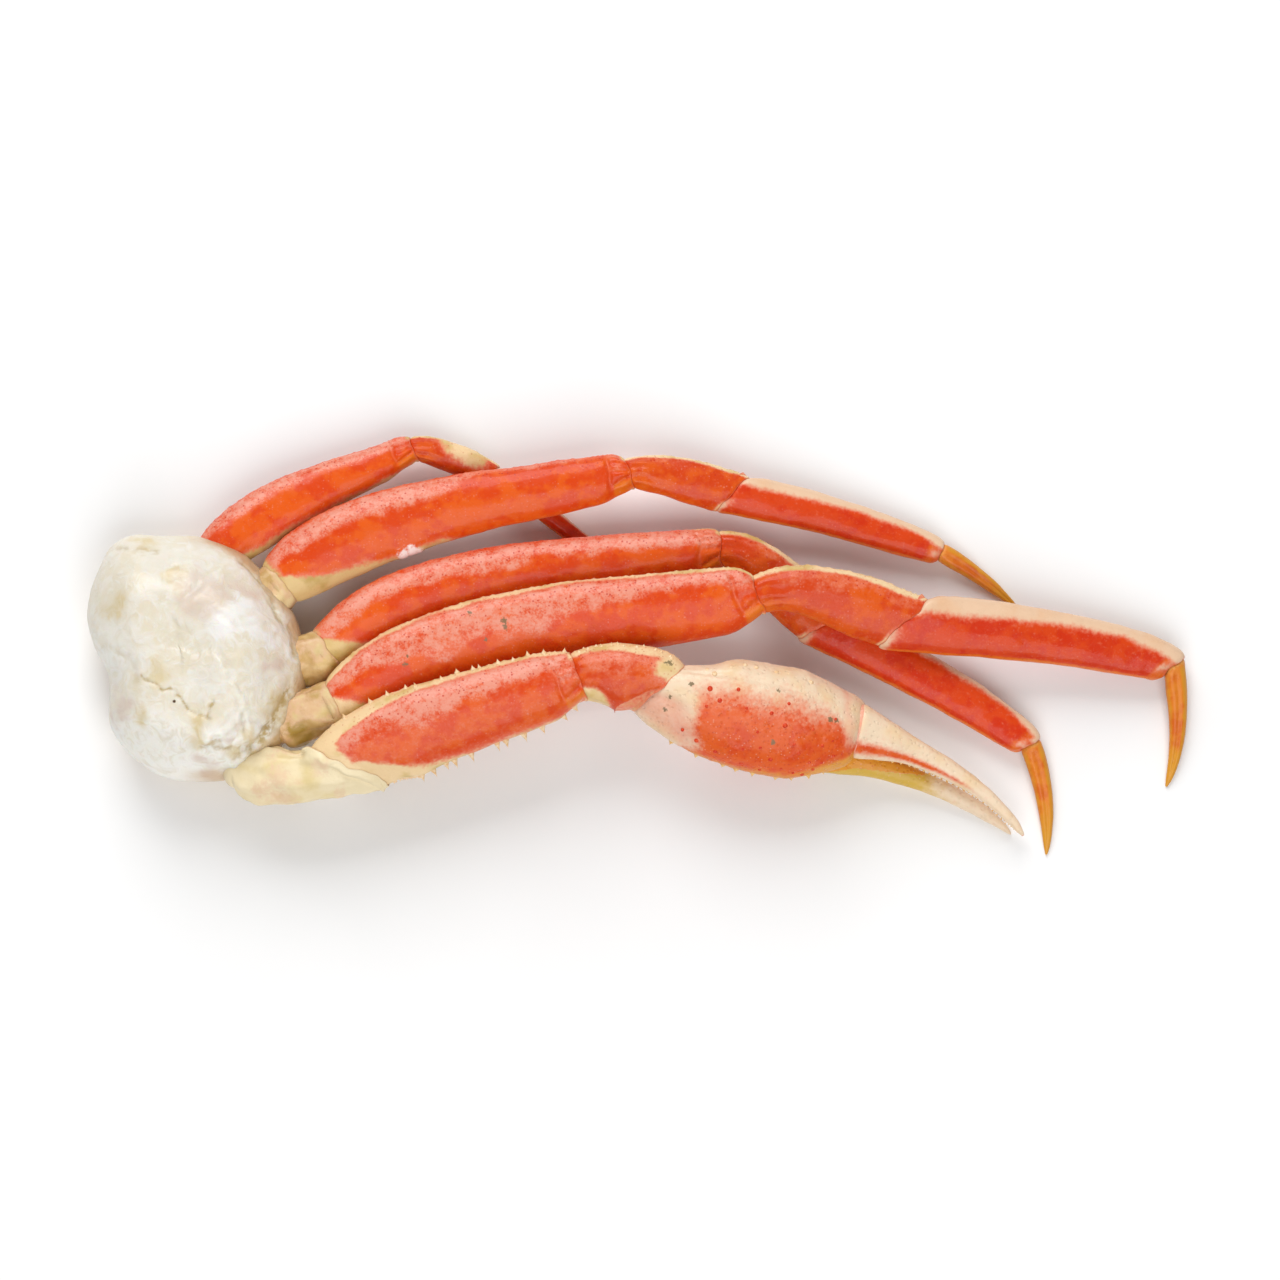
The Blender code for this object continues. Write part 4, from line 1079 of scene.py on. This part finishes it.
# its colours: red in the middle, cream round it, and horn along the fixed finger
wander = 0.12 * drift(points, 6.0, 51)
centre = ease(0.09, 0.27, share + 0.05 * across + 0.5 * wander) * ease(0.92, -0.15, across + wander)
centre = centre * ease(1.0, 0.82, share + 0.12 * across + 0.6 * wander) * hand
root = bell(across + 0.95, 0.35) * ease(0.7, 0.9, share)
joint_band = 0.55 * bell(share - 0.93 - 0.03 * drift(points, 4.0, 69), 0.025) * ease(-0.7, -0.3, across)
masks = {
    "cream": 1.0 - 1.1 * centre - 0.6 * root * hand,
    # bloom on the palm: a rosy tint over its upper side, with a painted sheen where it is strongest
    "bloom": 0.12 + 0.75 * ease(-0.3, 0.5, across) * centre,
    "gold": (0.7 * ease(-0.72, -1.0, across) * ease(0.05, 0.2, share) + 0.5 * root) * hand,
    "pores": 0.5 * ease(0.1, 0.5, centre),
    "rim": np.maximum(0.8 * hollow, joint_band) * hand,
    "horn": (1 - ease(60.0, 85.0, points[:, 0])) * ~hand,
    "speck": marks_on(points, SPECKS, "claw", "palm"),
}
for key, value in masks.items():
    palm.data.attributes.new(key, "FLOAT", "POINT").data.foreach_set("value", value.astype(np.float32))
print("palm:", len(points), "points, masks", {k: round(float(v.mean()), 2) for k, v in masks.items()})

# %% [markdown]
# ## Thorns, bumps and teeth
#
# The claw arm is armed: pale thorns on both edges of its long shell, red and gold bumps on the palm,
# and small teeth where the fingers meet. Each is a cone with a hollow flank, set square to the shell.
# One ring profile turned round its axis gives them all, and each row of them is one piece.

# %% Points on a shell's surface
def spots_on(limb, index, share, angle):
    """Place and outward direction of the grid points nearest to the given shares and angles in degrees."""
    loft, grid = surfaces[limb, index]
    rows = np.flatnonzero(loft.body)
    row = rows[np.abs(loft.share[rows, 0] - np.reshape(share, (-1, 1))).argmin(1)]
    column = np.round(np.asarray(angle) / 360 * grid.shape[1]).astype(int) % grid.shape[1]
    return grid[row, column], outward(grid)[row, column]


def thorn_piece(name, places, directions, heights, widths, material, sides=9, sink=0.5, sharp=1.4):
    """Cones whose radius falls as (1 - height) to the power of sharp, their feet sunk in the shell."""
    rise = np.array([-1.0, 0.0, 0.18, 0.38, 0.6, 0.8, 0.94, 1.0])
    radius = np.array([1.15, 1.0, *(1 - rise[2:-1]) ** sharp, 0.04])
    turn = turns(sides)
    across = unit(np.cross(directions, [0.31, 0.22, 0.92]))
    along = np.cross(directions, across)
    lift = np.where(rise[None, :] < 0, -sink, rise[None, :] * np.asarray(heights)[:, None])
    spread = radius[None, :] * np.asarray(widths)[:, None]
    rings = (
        places[:, None, None, :] + lift[..., None, None] * directions[:, None, None, :]
        + spread[..., None, None] * (
            np.cos(turn)[None, None, :, None] * across[:, None, None, :]
            + np.sin(turn)[None, None, :, None] * along[:, None, None, :]
        )
    )
    count, rows = rings.shape[:2]
    points = np.concatenate([with_poles(cone) for cone in rings])
    offset = np.arange(count)[:, None, None] * (rows * sides + 2)
    quads, fans = ((faces + offset).reshape(-1, faces.shape[1]) for faces in grid_faces(rows, sides))
    piece = new_piece(name, in_frame(points), quads, fans, material)
    return piece


def bump_finish(name, low, high, roughness=0.32):
    f = Finish(name, low, roughness, coat=0.1, specular=0.25)
    f.paint(f.ramp(f.noise(0.8), 0.35, 0.65), high)
    f.relief(f.noise(0.3), 0.03)
    return f.done()


ivory = bump_finish("thorn_ivory", (0.80, 0.50, 0.24), (0.90, 0.70, 0.46))
wart_red = bump_finish("wart_red", (0.60, 0.030, 0.006), (0.72, 0.075, 0.015), 0.45)
wart_gold = bump_finish("wart_gold", (0.74, 0.40, 0.10), (0.86, 0.58, 0.24))


# %% Thorns on the arm of the claw
def row_of(name, index, count, first, last, angle, wander, high, wide, material=ivory):
    """Thorns of uneven size on a shell of the claw arm, between two shares of its length."""
    share = np.linspace(first, last, count) + rng.uniform(-1, 1, count) * 0.3 * (last - first) / count
    place, direction = spots_on("claw", index, share, angle + wander * rng.uniform(-1, 1, count))
    heights = high * rng.uniform(0.7, 1.1, count)
    return thorn_piece(name, place, direction, heights, wide * rng.uniform(0.85, 1.1, count), material)


thorns = [
    row_of("claw_upper_thorns", 1, 14, 0.14, 0.97, 4, 5, 1.4, 0.70),
    row_of("claw_lower_thorns", 1, 11, 0.22, 0.95, 172, 5, 2.2, 0.90),
    row_of("claw_near_teeth", 1, 20, 0.02, 0.24, 176, 3, 0.7, 0.40),
    row_of("knee_thorns", 2, 14, 0.12, 0.85, 8, 8, 0.7, 0.50),
    row_of("palm_lower_bumps", 3, 9, 0.22, 0.86, 178, 6, 1.0, 0.80, wart_gold),
    row_of("palm_upper_bumps", 3, 8, 0.10, 0.70, 24, 8, 0.4, 0.60),
]
print("thorns:", sum(len(piece.data.polygons) for piece in thorns), "faces")

# %% Red warts on the palm
PALM_WARTS = [  # share of length and angle, in degrees
    (0.20, 62), (0.23, 84), (0.35, 58), (0.41, 78), (0.53, 76), (0.60, 64), (0.61, 88), (0.74, 88),
    (0.84, 70), (0.87, 118), (0.82, 128), (0.76, 126), (0.20, 122), (0.26, 130), (0.74, 150), (0.44, 118),
    (0.32, 96), (0.37, 108), (0.48, 98), (0.52, 112), (0.57, 124), (0.66, 104), (0.70, 112), (0.80, 104),
    (0.85, 96), (0.64, 138), (0.69, 144), (0.34, 136), (0.46, 142), (0.55, 148), (0.79, 142), (0.28, 74),
]
place, direction = spots_on("claw", 3, *np.array(PALM_WARTS).T)
size = rng.uniform(0.6, 1.15, len(place))
thorn_piece("palm_red_warts", place, direction, 0.32 * size, 0.60 * size, wart_red, 12, 0.4, 0.5)
print("warts:", len(size))

# %% [markdown]
# ## Teeth of the fingers
#
# Where the two fingers close on each other, each carries a row of low round teeth.

# %% Finger teeth
def finger_teeth(name, grid, column, count, first, last):
    """Teeth along one line of a grid, each square to the surface."""
    rows = np.linspace(first, last, count) * (len(grid) - 1)
    i = rows.astype(int)
    place, direction = grid[i, column], outward(grid)[i, column]
    size = np.linspace(1.0, 0.5, count)
    return thorn_piece(name, place, direction, 0.45 * size, 0.42 * size, wart_gold, 8, 0.4, 0.6)


finger_loft, _ = surfaces["claw", 4]
finger_teeth("moving_finger_teeth", finger_loft.grid, int(AROUND * 0.52), 22, 0.28, 0.93)
finger_teeth("fixed_finger_teeth", fixed_finger, 0, 22, 0.35, 0.95)

# %% [markdown]
# ## The shoulder of white meat
#
# Where the body was pulled in half, a thick lump of steamed meat shows, wrapped in torn skin. Its
# outline is a closed curve through named radii, its top a dome with lobes. Creases are valleys of a
# given width along short lines, so that each fold lies where it belongs.

# %% The outline and the dome
SHOULDER_CENTRE = (-110.7, -9.6)
SHOULDER_RADII = (
    27.3, 27.4, 27.9, 28.3, 30.2, 32.4, 33.8, 35.2, 38.2, 35.4, 31.6, 26.6,
    22.5, 22.8, 25.4, 26.3, 26.8, 27.5, 27.4, 28.0, 28.4, 27.8, 27.5, 27.3,
)
WIDEST_HEIGHT, FLAT_SHARE = 13.0, 0.62
TOP_RISE, TOP_POWER, TOP_ROUNDNESS = 17.0, 2.6, 1.7
LOBES = (  # x and y from the centre, reach and height
    (-17.0, 19.0, 10.0, 3.2), (-2.0, 20.0, 9.0, 1.4), (11.0, 12.0, 9.0, 1.9), (12.0, -3.0, 8.0, 1.6),
    (-14.0, 3.0, 9.0, 1.4), (-13.0, -13.0, 9.0, 2.2), (5.0, -18.0, 8.0, 2.4), (17.0, -15.0, 7.0, 1.6),
    (-5.0, 8.0, 6.0, -0.9), (1.0, -9.0, 4.5, -1.2),
)
BREASTPLATE_RIM, BREASTPLATE_WALL = 5.6, 1.3


def shoulder_radius(angle):
    """Catmull-Rom through the named radii."""
    count = len(SHOULDER_RADII)
    spot = angle / (2 * math.pi) * count
    i = np.floor(spot).astype(int)
    f = spot - i
    before, low, high, after = (np.take(SHOULDER_RADII, (i + k) % count) for k in (-1, 0, 1, 2))
    bend = 2 * before - 5 * low + 4 * high - after + f * (3 * (low - high) + after - before)
    return low + 0.5 * f * (high - before + f * bend)


def foot_share(height):
    """Share of the outline below the widest line: a quarter of an ellipse down to the flat spot."""
    rise = np.clip(height / WIDEST_HEIGHT, 0, 1)
    return FLAT_SHARE + (1 - FLAT_SHARE) * np.sqrt(1 - (1 - rise) ** 2)


def from_centre(points):
    """x and y measured from the centre of the shoulder."""
    return points[..., 0] - SHOULDER_CENTRE[0], points[..., 1] - SHOULDER_CENTRE[1]


def shoulder_grid(share, height, around, inset=0.0):
    """Rings with the outline of the shoulder, each at its share of the radii and its height."""
    angle = turns(around)
    radius = shoulder_radius(angle)[None, :] * share[:, None] - np.reshape(inset, (-1, 1))
    flat = np.stack([radius * np.cos(angle), radius * np.sin(angle), height[:, None] + 0 * radius], -1)
    return flat + np.array([*SHOULDER_CENTRE, 0.0])


def meat_grid(rows, around):
    """Rings from the foot up the side and over the dome to its middle."""
    side = np.linspace(BREASTPLATE_RIM + 0.4, WIDEST_HEIGHT, rows // 4)
    low = np.array([1.4, 2.2, 4.0])
    foot = shoulder_grid(foot_share(low), low, around, BREASTPLATE_WALL + GAP)
    skirt = shoulder_grid(foot_share(side), side, around)
    share = np.cos(np.linspace(0, 1, rows)[1:-1] * math.pi / 2)
    height = WIDEST_HEIGHT + TOP_RISE * (1 - share**TOP_POWER) ** (1 / TOP_ROUNDNESS)
    top = shoulder_grid(share, height, around)
    x, y = from_centre(top)
    lobes = sum(rise * np.exp(-((x - u) ** 2 + (y - v) ** 2) / reach**2) for u, v, reach, rise in LOBES)
    top[..., 2] += lobes * (1 - share[:, None] ** 4)
    return np.concatenate([foot, skirt, top])


meat = meat_grid(90, 260)
print("meat:", meat.shape, "top at", meat[..., 2].max().round(1), "mm")

# %% [markdown]
# Every crease, step and soft lump of the meat has its line here, from the shoulder's centre.

# %% Creases and folds of the meat
CREASES = (  # depth, half width, stain, then the points of the line
    (0.22, 0.45, 0.9, (-13.0, -3.0), (-9.2, -5.0), (-4.6, -6.9), (-0.1, -9.5), (3.7, -11.8), (5.2, -12.6)),
    (0.30, 0.5, 0.9, (4.4, -12.8), (5.9, -8.8)),
    (0.22, 0.8, 0.0, (-1.6, 7.2), (-5.0, 10.3), (-4.6, 14.1), (-1.6, 16.4), (1.4, 20.2)),
    (0.20, 0.7, 0.1, (6.0, 12.5), (12.0, 10.5), (18.0, 9.5)),
    (0.28, 0.7, 0.0, (6.0, -8.0), (10.5, -2.7), (10.1, 0.4), (6.5, 2.2)),
    (0.45, 0.6, 0.8, (2.2, -20.2), (5.2, -18.7), (9.0, -20.9), (11.2, -20.2), (16.0, -19.0)),
    (0.45, 0.7, 0.4, (12.4, -12.4), (12.9, -15.8)),
    (0.20, 0.8, 0.2, (-22.0, 6.0), (-17.0, 2.0), (-14.0, -4.0)),
    (0.25, 0.6, 0.5, (-20.0, 29.5), (-14.0, 29.6), (-9.5, 28.5)),
    (0.30, 0.6, 0.2, (15.0, -13.0), (18.0, -14.5), (20.5, -13.5)),
    (0.70, 1.3, 1.0, (23.8, -5.0), (21.6, -9.5), (19.6, -13.5), (17.4, -17.0), (15.2, -20.5), (13.5, -23.5)),
    (0.35, 0.8, 0.6, (17.4, -17.0), (13.5, -19.0), (10.5, -22.0)),
    (0.40, 0.7, 0.7, (25.0, 3.0), (24.0, 8.0), (22.6, 12.0), (20.0, 17.0), (16.0, 22.3), (11.5, 26.5)),
)
STEPS = (  # height, half width of the slope, then the points of the line: the side on its left is raised
    (0.45, 1.2, (5.0, 23.0), (1.4, 18.0), (-4.6, 13.0), (-3.5, 5.0)),
    (0.35, 1.0, (10.5, -4.0), (8.0, 1.5), (0.0, 3.0)),
)
# patches of the meat: x and y from the centre, then how far each reaches
FROST = ((9.3, 11.1, 5.5), (16.5, 8.0, 4.0), (22.6, 5.7, 2.8), (18.5, -15.0, 3.0))
ROSY = ((3.0, 17.0, 6.0), (12.0, 18.0, 3.5), (12.7, -14.1, 2.0), (19.0, 1.0, 3.5), (2.0, -23.5, 3.5),
        (-19.0, -10.0, 4.0))
AMBER = ((-14.5, 30.0, 4.5), (-9.0, -2.5, 4.0), (0.0, -15.0, 4.0), (21.0, -10.0, 4.0), (17.0, -17.0, 4.0),
         (11.0, -20.5, 3.5), (-20.0, 14.0, 4.0), (-13.0, -14.0, 4.0), (-2.0, 21.0, 3.0))
CURDS = ((4.0, -19.5, 4.5), (10.0, -17.0, 5.0), (16.5, -16.0, 4.0), (12.5, -9.5, 3.0), (-6.0, 25.0, 3.0))
DARK_DOT = (-4.0, -8.9, 0.45)
STEP_REACH = 5.0  # how far from its line a step is felt


def line_distance(x, y, line):
    """Distance to a broken line, and which side of it the point is on: the nearest of its spans counts."""
    best, side = np.full(x.shape, 1e9), np.zeros(x.shape)
    for (ax, ay), (bx, by) in zip(line, line[1:]):
        ux, uy = bx - ax, by - ay
        t = np.clip(((x - ax) * ux + (y - ay) * uy) / (ux * ux + uy * uy), 0, 1)
        gap = np.hypot(x - ax - t * ux, y - ay - t * uy)
        closer = gap < best
        best = np.where(closer, gap, best)
        side = np.where(closer, np.sign(ux * (y - ay) - uy * (x - ax)), side)
    return best, side


def meat_relief(grid):
    """Outward push and how deep in a crease each point is."""
    x, y = from_centre(grid)
    wobble = 1.1 * rough_drift(grid, 5.0, 31, 4)
    push, crease = 0.6 * rough_drift(grid, 14.0, 33, 3), np.zeros(x.shape)
    push = push + 0.10 * rough_drift(grid, 2.6, 37, 2)
    push = push + 0.8 * patches(x, y, CURDS) * np.abs(drift(grid, 2.8, 71)) - 0.2 * patches(x, y, CURDS)
    for depth, half, stain, *line in CREASES:
        gap, _ = line_distance(x + wobble, y + wobble, line)
        valley = bell(gap, half)
        push, crease = push - depth * valley, np.maximum(crease, stain * valley)
        push = push + 0.3 * depth * bell(gap - 2.6 * half, half)
    for height, half, *line in STEPS:
        gap, side = line_distance(x + wobble, y + wobble, line)
        push = push + height * bell(gap, STEP_REACH) * np.tanh(gap * side / half)
    high = ease(WIDEST_HEIGHT - 5, WIDEST_HEIGHT + 2, grid[..., 2])
    return push * high, crease * high


push, crease = meat_relief(meat)
dressed_meat = meat + push[..., None] * outward(meat)
print("meat relief from", push.min().round(2), "to", push.max().round(2), "mm")

# %% [markdown]
# ## The look of steamed meat
#
# Crab meat is white and lets light in, so its shadows are warm and soft: subsurface scattering does
# that. Over it lies a wet skin that is clear in some places and milky in others. Yellow and brown
# stains gather in the creases. The side that faces away from the window lamp gets a paler colour
# painted on: painted light that lifts its shade.

# %% The meat finish
def meat_finish():
    f = Finish("steamed_meat", (0.73, 0.665, 0.53), 0.42, coat=0.25, coat_roughness=0.22, specular=0.4)
    f.shader.inputs["Subsurface Weight"].default_value = 0.5
    f.shader.inputs["Subsurface Radius"].default_value = (1.0, 0.7, 0.45)
    f.shader.inputs["Subsurface Scale"].default_value = 3.0 * MM
    cloud, milk, fibre = f.noise(12.0, 4.0, 0.8), f.noise(3.5, 6.0, 1.5), f.noise(0.9, 4.0, 0.8)
    f.paint(f.ramp(f.sum(cloud, f.swing(milk, 0.42)), 0.40, 0.60), (0.76, 0.715, 0.62))
    f.paint(f.product(f.ramp(milk, 0.48, 0.68), 0.65), (0.80, 0.775, 0.72))
    # Painted light: a paler colour on the side facing away from the window lamp, to lift its shade.
    f.paint(f.product(f.attribute("shade_side_painted_light"), f.ramp(milk, 0.30, 0.55, 0.35, 0.95)), (0.88, 0.86, 0.80))
    for key, colour, strength in (
        ("amber", (0.66, 0.53, 0.27), 0.85),
        ("rosy", (0.68, 0.56, 0.47), 0.80),
        ("frost", (0.83, 0.82, 0.80), 0.80),
    ):
        f.paint(f.product(f.ragged(key, milk, 1.4, 0.15, 0.95), strength), colour)
    stain = f.product(f.attribute("crease"), f.ramp(f.noise(2.0, 4.0), 0.34, 0.60))
    f.paint(f.product(stain, 0.9), (0.46, 0.32, 0.10))
    f.paint(f.product(f.attribute("skirt"), 0.75), (0.78, 0.60, 0.40))
    f.paint(f.product(f.attribute("border"), 0.85), (0.55, 0.34, 0.16))
    f.paint(f.ramp(f.attribute("dot"), 0.3, 0.6), (0.10, 0.05, 0.02))
    f.roughness = f.ramp(milk, 0.4, 0.65, 0.34, 0.55)
    f.relief(milk, 0.26)
    f.relief(fibre, 0.08)
    return f.done()


x, y = from_centre(meat)
tops = ease(WIDEST_HEIGHT - 4, WIDEST_HEIGHT + 2, meat[..., 2])
turn = np.arctan2(y, x)
rho = np.hypot(x, y) / shoulder_radius(turn % (2 * math.pi))
warped = x + 3.5 * rough_drift(meat, 7.0, 65), y + 3.5 * rough_drift(meat, 7.0, 67)
olive = ease(0.84, 0.97, rho) * bell(turn + 0.55, 0.45)
meat_masks = {
    "crease": np.maximum(crease, 0.6 * olive * tops),
    "skirt": ease(WIDEST_HEIGHT - 1, WIDEST_HEIGHT - 6, meat[..., 2]),
    "frost": patches(*warped, FROST) * tops,
    "rosy": patches(*warped, ROSY) * tops,
    "amber": np.maximum(0.75 * patches(*warped, AMBER), olive) * tops,
    "dot": patches(x, y, (DARK_DOT,)) * tops,
    # the side facing away from the window lamp, where the painted light goes
    "shade_side_painted_light": ease(0.05, -0.55, outward(meat)[..., 1]),
    "border": ease(0.90, 0.975, rho + 0.02 * rough_drift(meat, 4.0, 61)) * ease(-6.0, 8.0, x),
}
meat_piece = grid_piece("shoulder_meat_lump", dressed_meat, meat_finish(), **meat_masks)
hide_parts("shoulder_meat")

# %% [markdown]
# ## The breastplate underneath
#
# A shallow bowl of thin shell closes the shoulder below. Seams fan out over it, one between each two
# legs, where its plates have grown together.

# %% Breastplate with its seams
PLATE_AROUND = 240
SEAMS, SEAM_WIDTH = np.radians([-62, -30, 2, 34, 66, 118, 242]), 0.022


def breastplate_grid(around):
    """Rings over the flat underside, up the outside, over the rim and down the inside."""
    outer = BREASTPLATE_RIM * np.array([0.0, 0.03, 0.08, 0.16, 0.28, 0.42, 0.58, 0.75, 0.9, 0.97])
    rim, inner = np.array([BREASTPLATE_RIM]), outer[:1:-1]
    outside = shoulder_grid(foot_share(outer), outer, around)
    lip = shoulder_grid(foot_share(rim), rim, around, 0.45)
    inside = shoulder_grid(foot_share(inner), inner, around, BREASTPLATE_WALL)
    inside[..., 2] = np.maximum(inside[..., 2], BREASTPLATE_WALL + 0.2)
    under = shoulder_grid(FLAT_SHARE * np.linspace(0.05, 1, 24)[:-1], np.zeros(23), around)
    return np.concatenate([under, outside, lip, inside])


plate = breastplate_grid(PLATE_AROUND)
seam = sum(bell(from_edge(turns(PLATE_AROUND), middle), SEAM_WIDTH) for middle in SEAMS)
seam = np.clip(seam, 0, 1)[None, :] + 0 * plate[..., 0]
under = plate[..., 2] < BREASTPLATE_RIM * 0.95
plate[..., 2] += np.where(under, 0.35 * seam * ease(0.0, 0.3, plate[..., 2]), 0)
breast = grid_piece("breastplate_bowl", plate, finishes["base"], cream=0.7 - 0.5 * seam,
                    bloom=0.4 + 0.5 * seam, gold=0.3 * seam, pores=0 * seam, rim=0 * seam)
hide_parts("breastplate")
print("breastplate:", plate.shape)

# %% [markdown]
# ## Table, light and camera
#
# A pale table, one large soft lamp from behind that lays a long highlight on every leg, a weaker one
# in front, and a bright even sky. The shells also carry a painted sheen along that highlight. The
# camera looks down from 84 degrees through a long lens.

# %% Table
FLOOR_HALF = 1.6  # half a side, in metres
f = Finish("pale_table", (0.88, 0.88, 0.88), 0.6)
f.paint(f.ramp(f.noise(60.0, 2.0), 0.3, 0.7), (0.90, 0.90, 0.90))
corners = [(x * FLOOR_HALF, y * FLOOR_HALF, 0) for x, y in ((-1, -1), (1, -1), (1, 1), (-1, 1))]
floor_mesh = bpy.data.meshes.new("floor")
floor_mesh.from_pydata(corners, [], [(0, 1, 2, 3)])
floor_mesh.materials.append(f.done())
floor = bpy.data.objects.new("floor", floor_mesh)
bpy.context.scene.collection.objects.link(floor)


# %% Lamps and sky
def soft_lamp(name, place, size, power):
    """A square white lamp, in metres and watts, turned towards the middle of the table."""
    lamp = bpy.data.lights.new(name, "AREA")
    lamp.shape, lamp.size, lamp.energy = "SQUARE", size, power
    obj = bpy.data.objects.new(name, lamp)
    obj.location = place
    obj.rotation_mode = "QUATERNION"
    obj.rotation_quaternion = (-Vector(place)).to_track_quat("-Z", "Y")
    bpy.context.scene.collection.objects.link(obj)


soft_lamp("window", (-0.2, 1.0, 0.85), 0.9, 14.0)
soft_lamp("fill", (0.1, -0.8, 1.0), 1.1, 11.5)
world = bpy.data.worlds.new("studio")
world.use_nodes = True
world.node_tree.nodes["Background"].inputs["Color"].default_value = (1.0, 1.0, 1.0, 1.0)
world.node_tree.nodes["Background"].inputs["Strength"].default_value = 0.28
bpy.context.scene.world = world
bpy.context.scene.view_settings.view_transform = "Standard"

# %% Camera
ELEVATION, DISTANCE, LENS, SENSOR = 84.0, 1.15, 130.0, 36.0
camera_data = bpy.data.cameras.new("camera")
camera_data.lens, camera_data.sensor_width = LENS, SENSOR
camera = bpy.data.objects.new("camera", camera_data)
low, high = cad_box
target = (np.array(low) + np.array(high)) / 2
lean = math.radians(ELEVATION)
camera.location = target + DISTANCE * np.array([0.0, -math.cos(lean), math.sin(lean)])
camera.rotation_euler = (math.pi / 2 - lean, 0.0, 0.0)
bpy.context.scene.collection.objects.link(camera)
bpy.context.scene.camera = camera
print("the view spans", round(DISTANCE * SENSOR / LENS * 1000), "mm")

# %% [markdown]
# ## Sizes
#
# The box of the solids is printed.

# %% Finish
print("cad box ", [np.round(np.array(corner) * 1000, 1).tolist() for corner in cad_box])
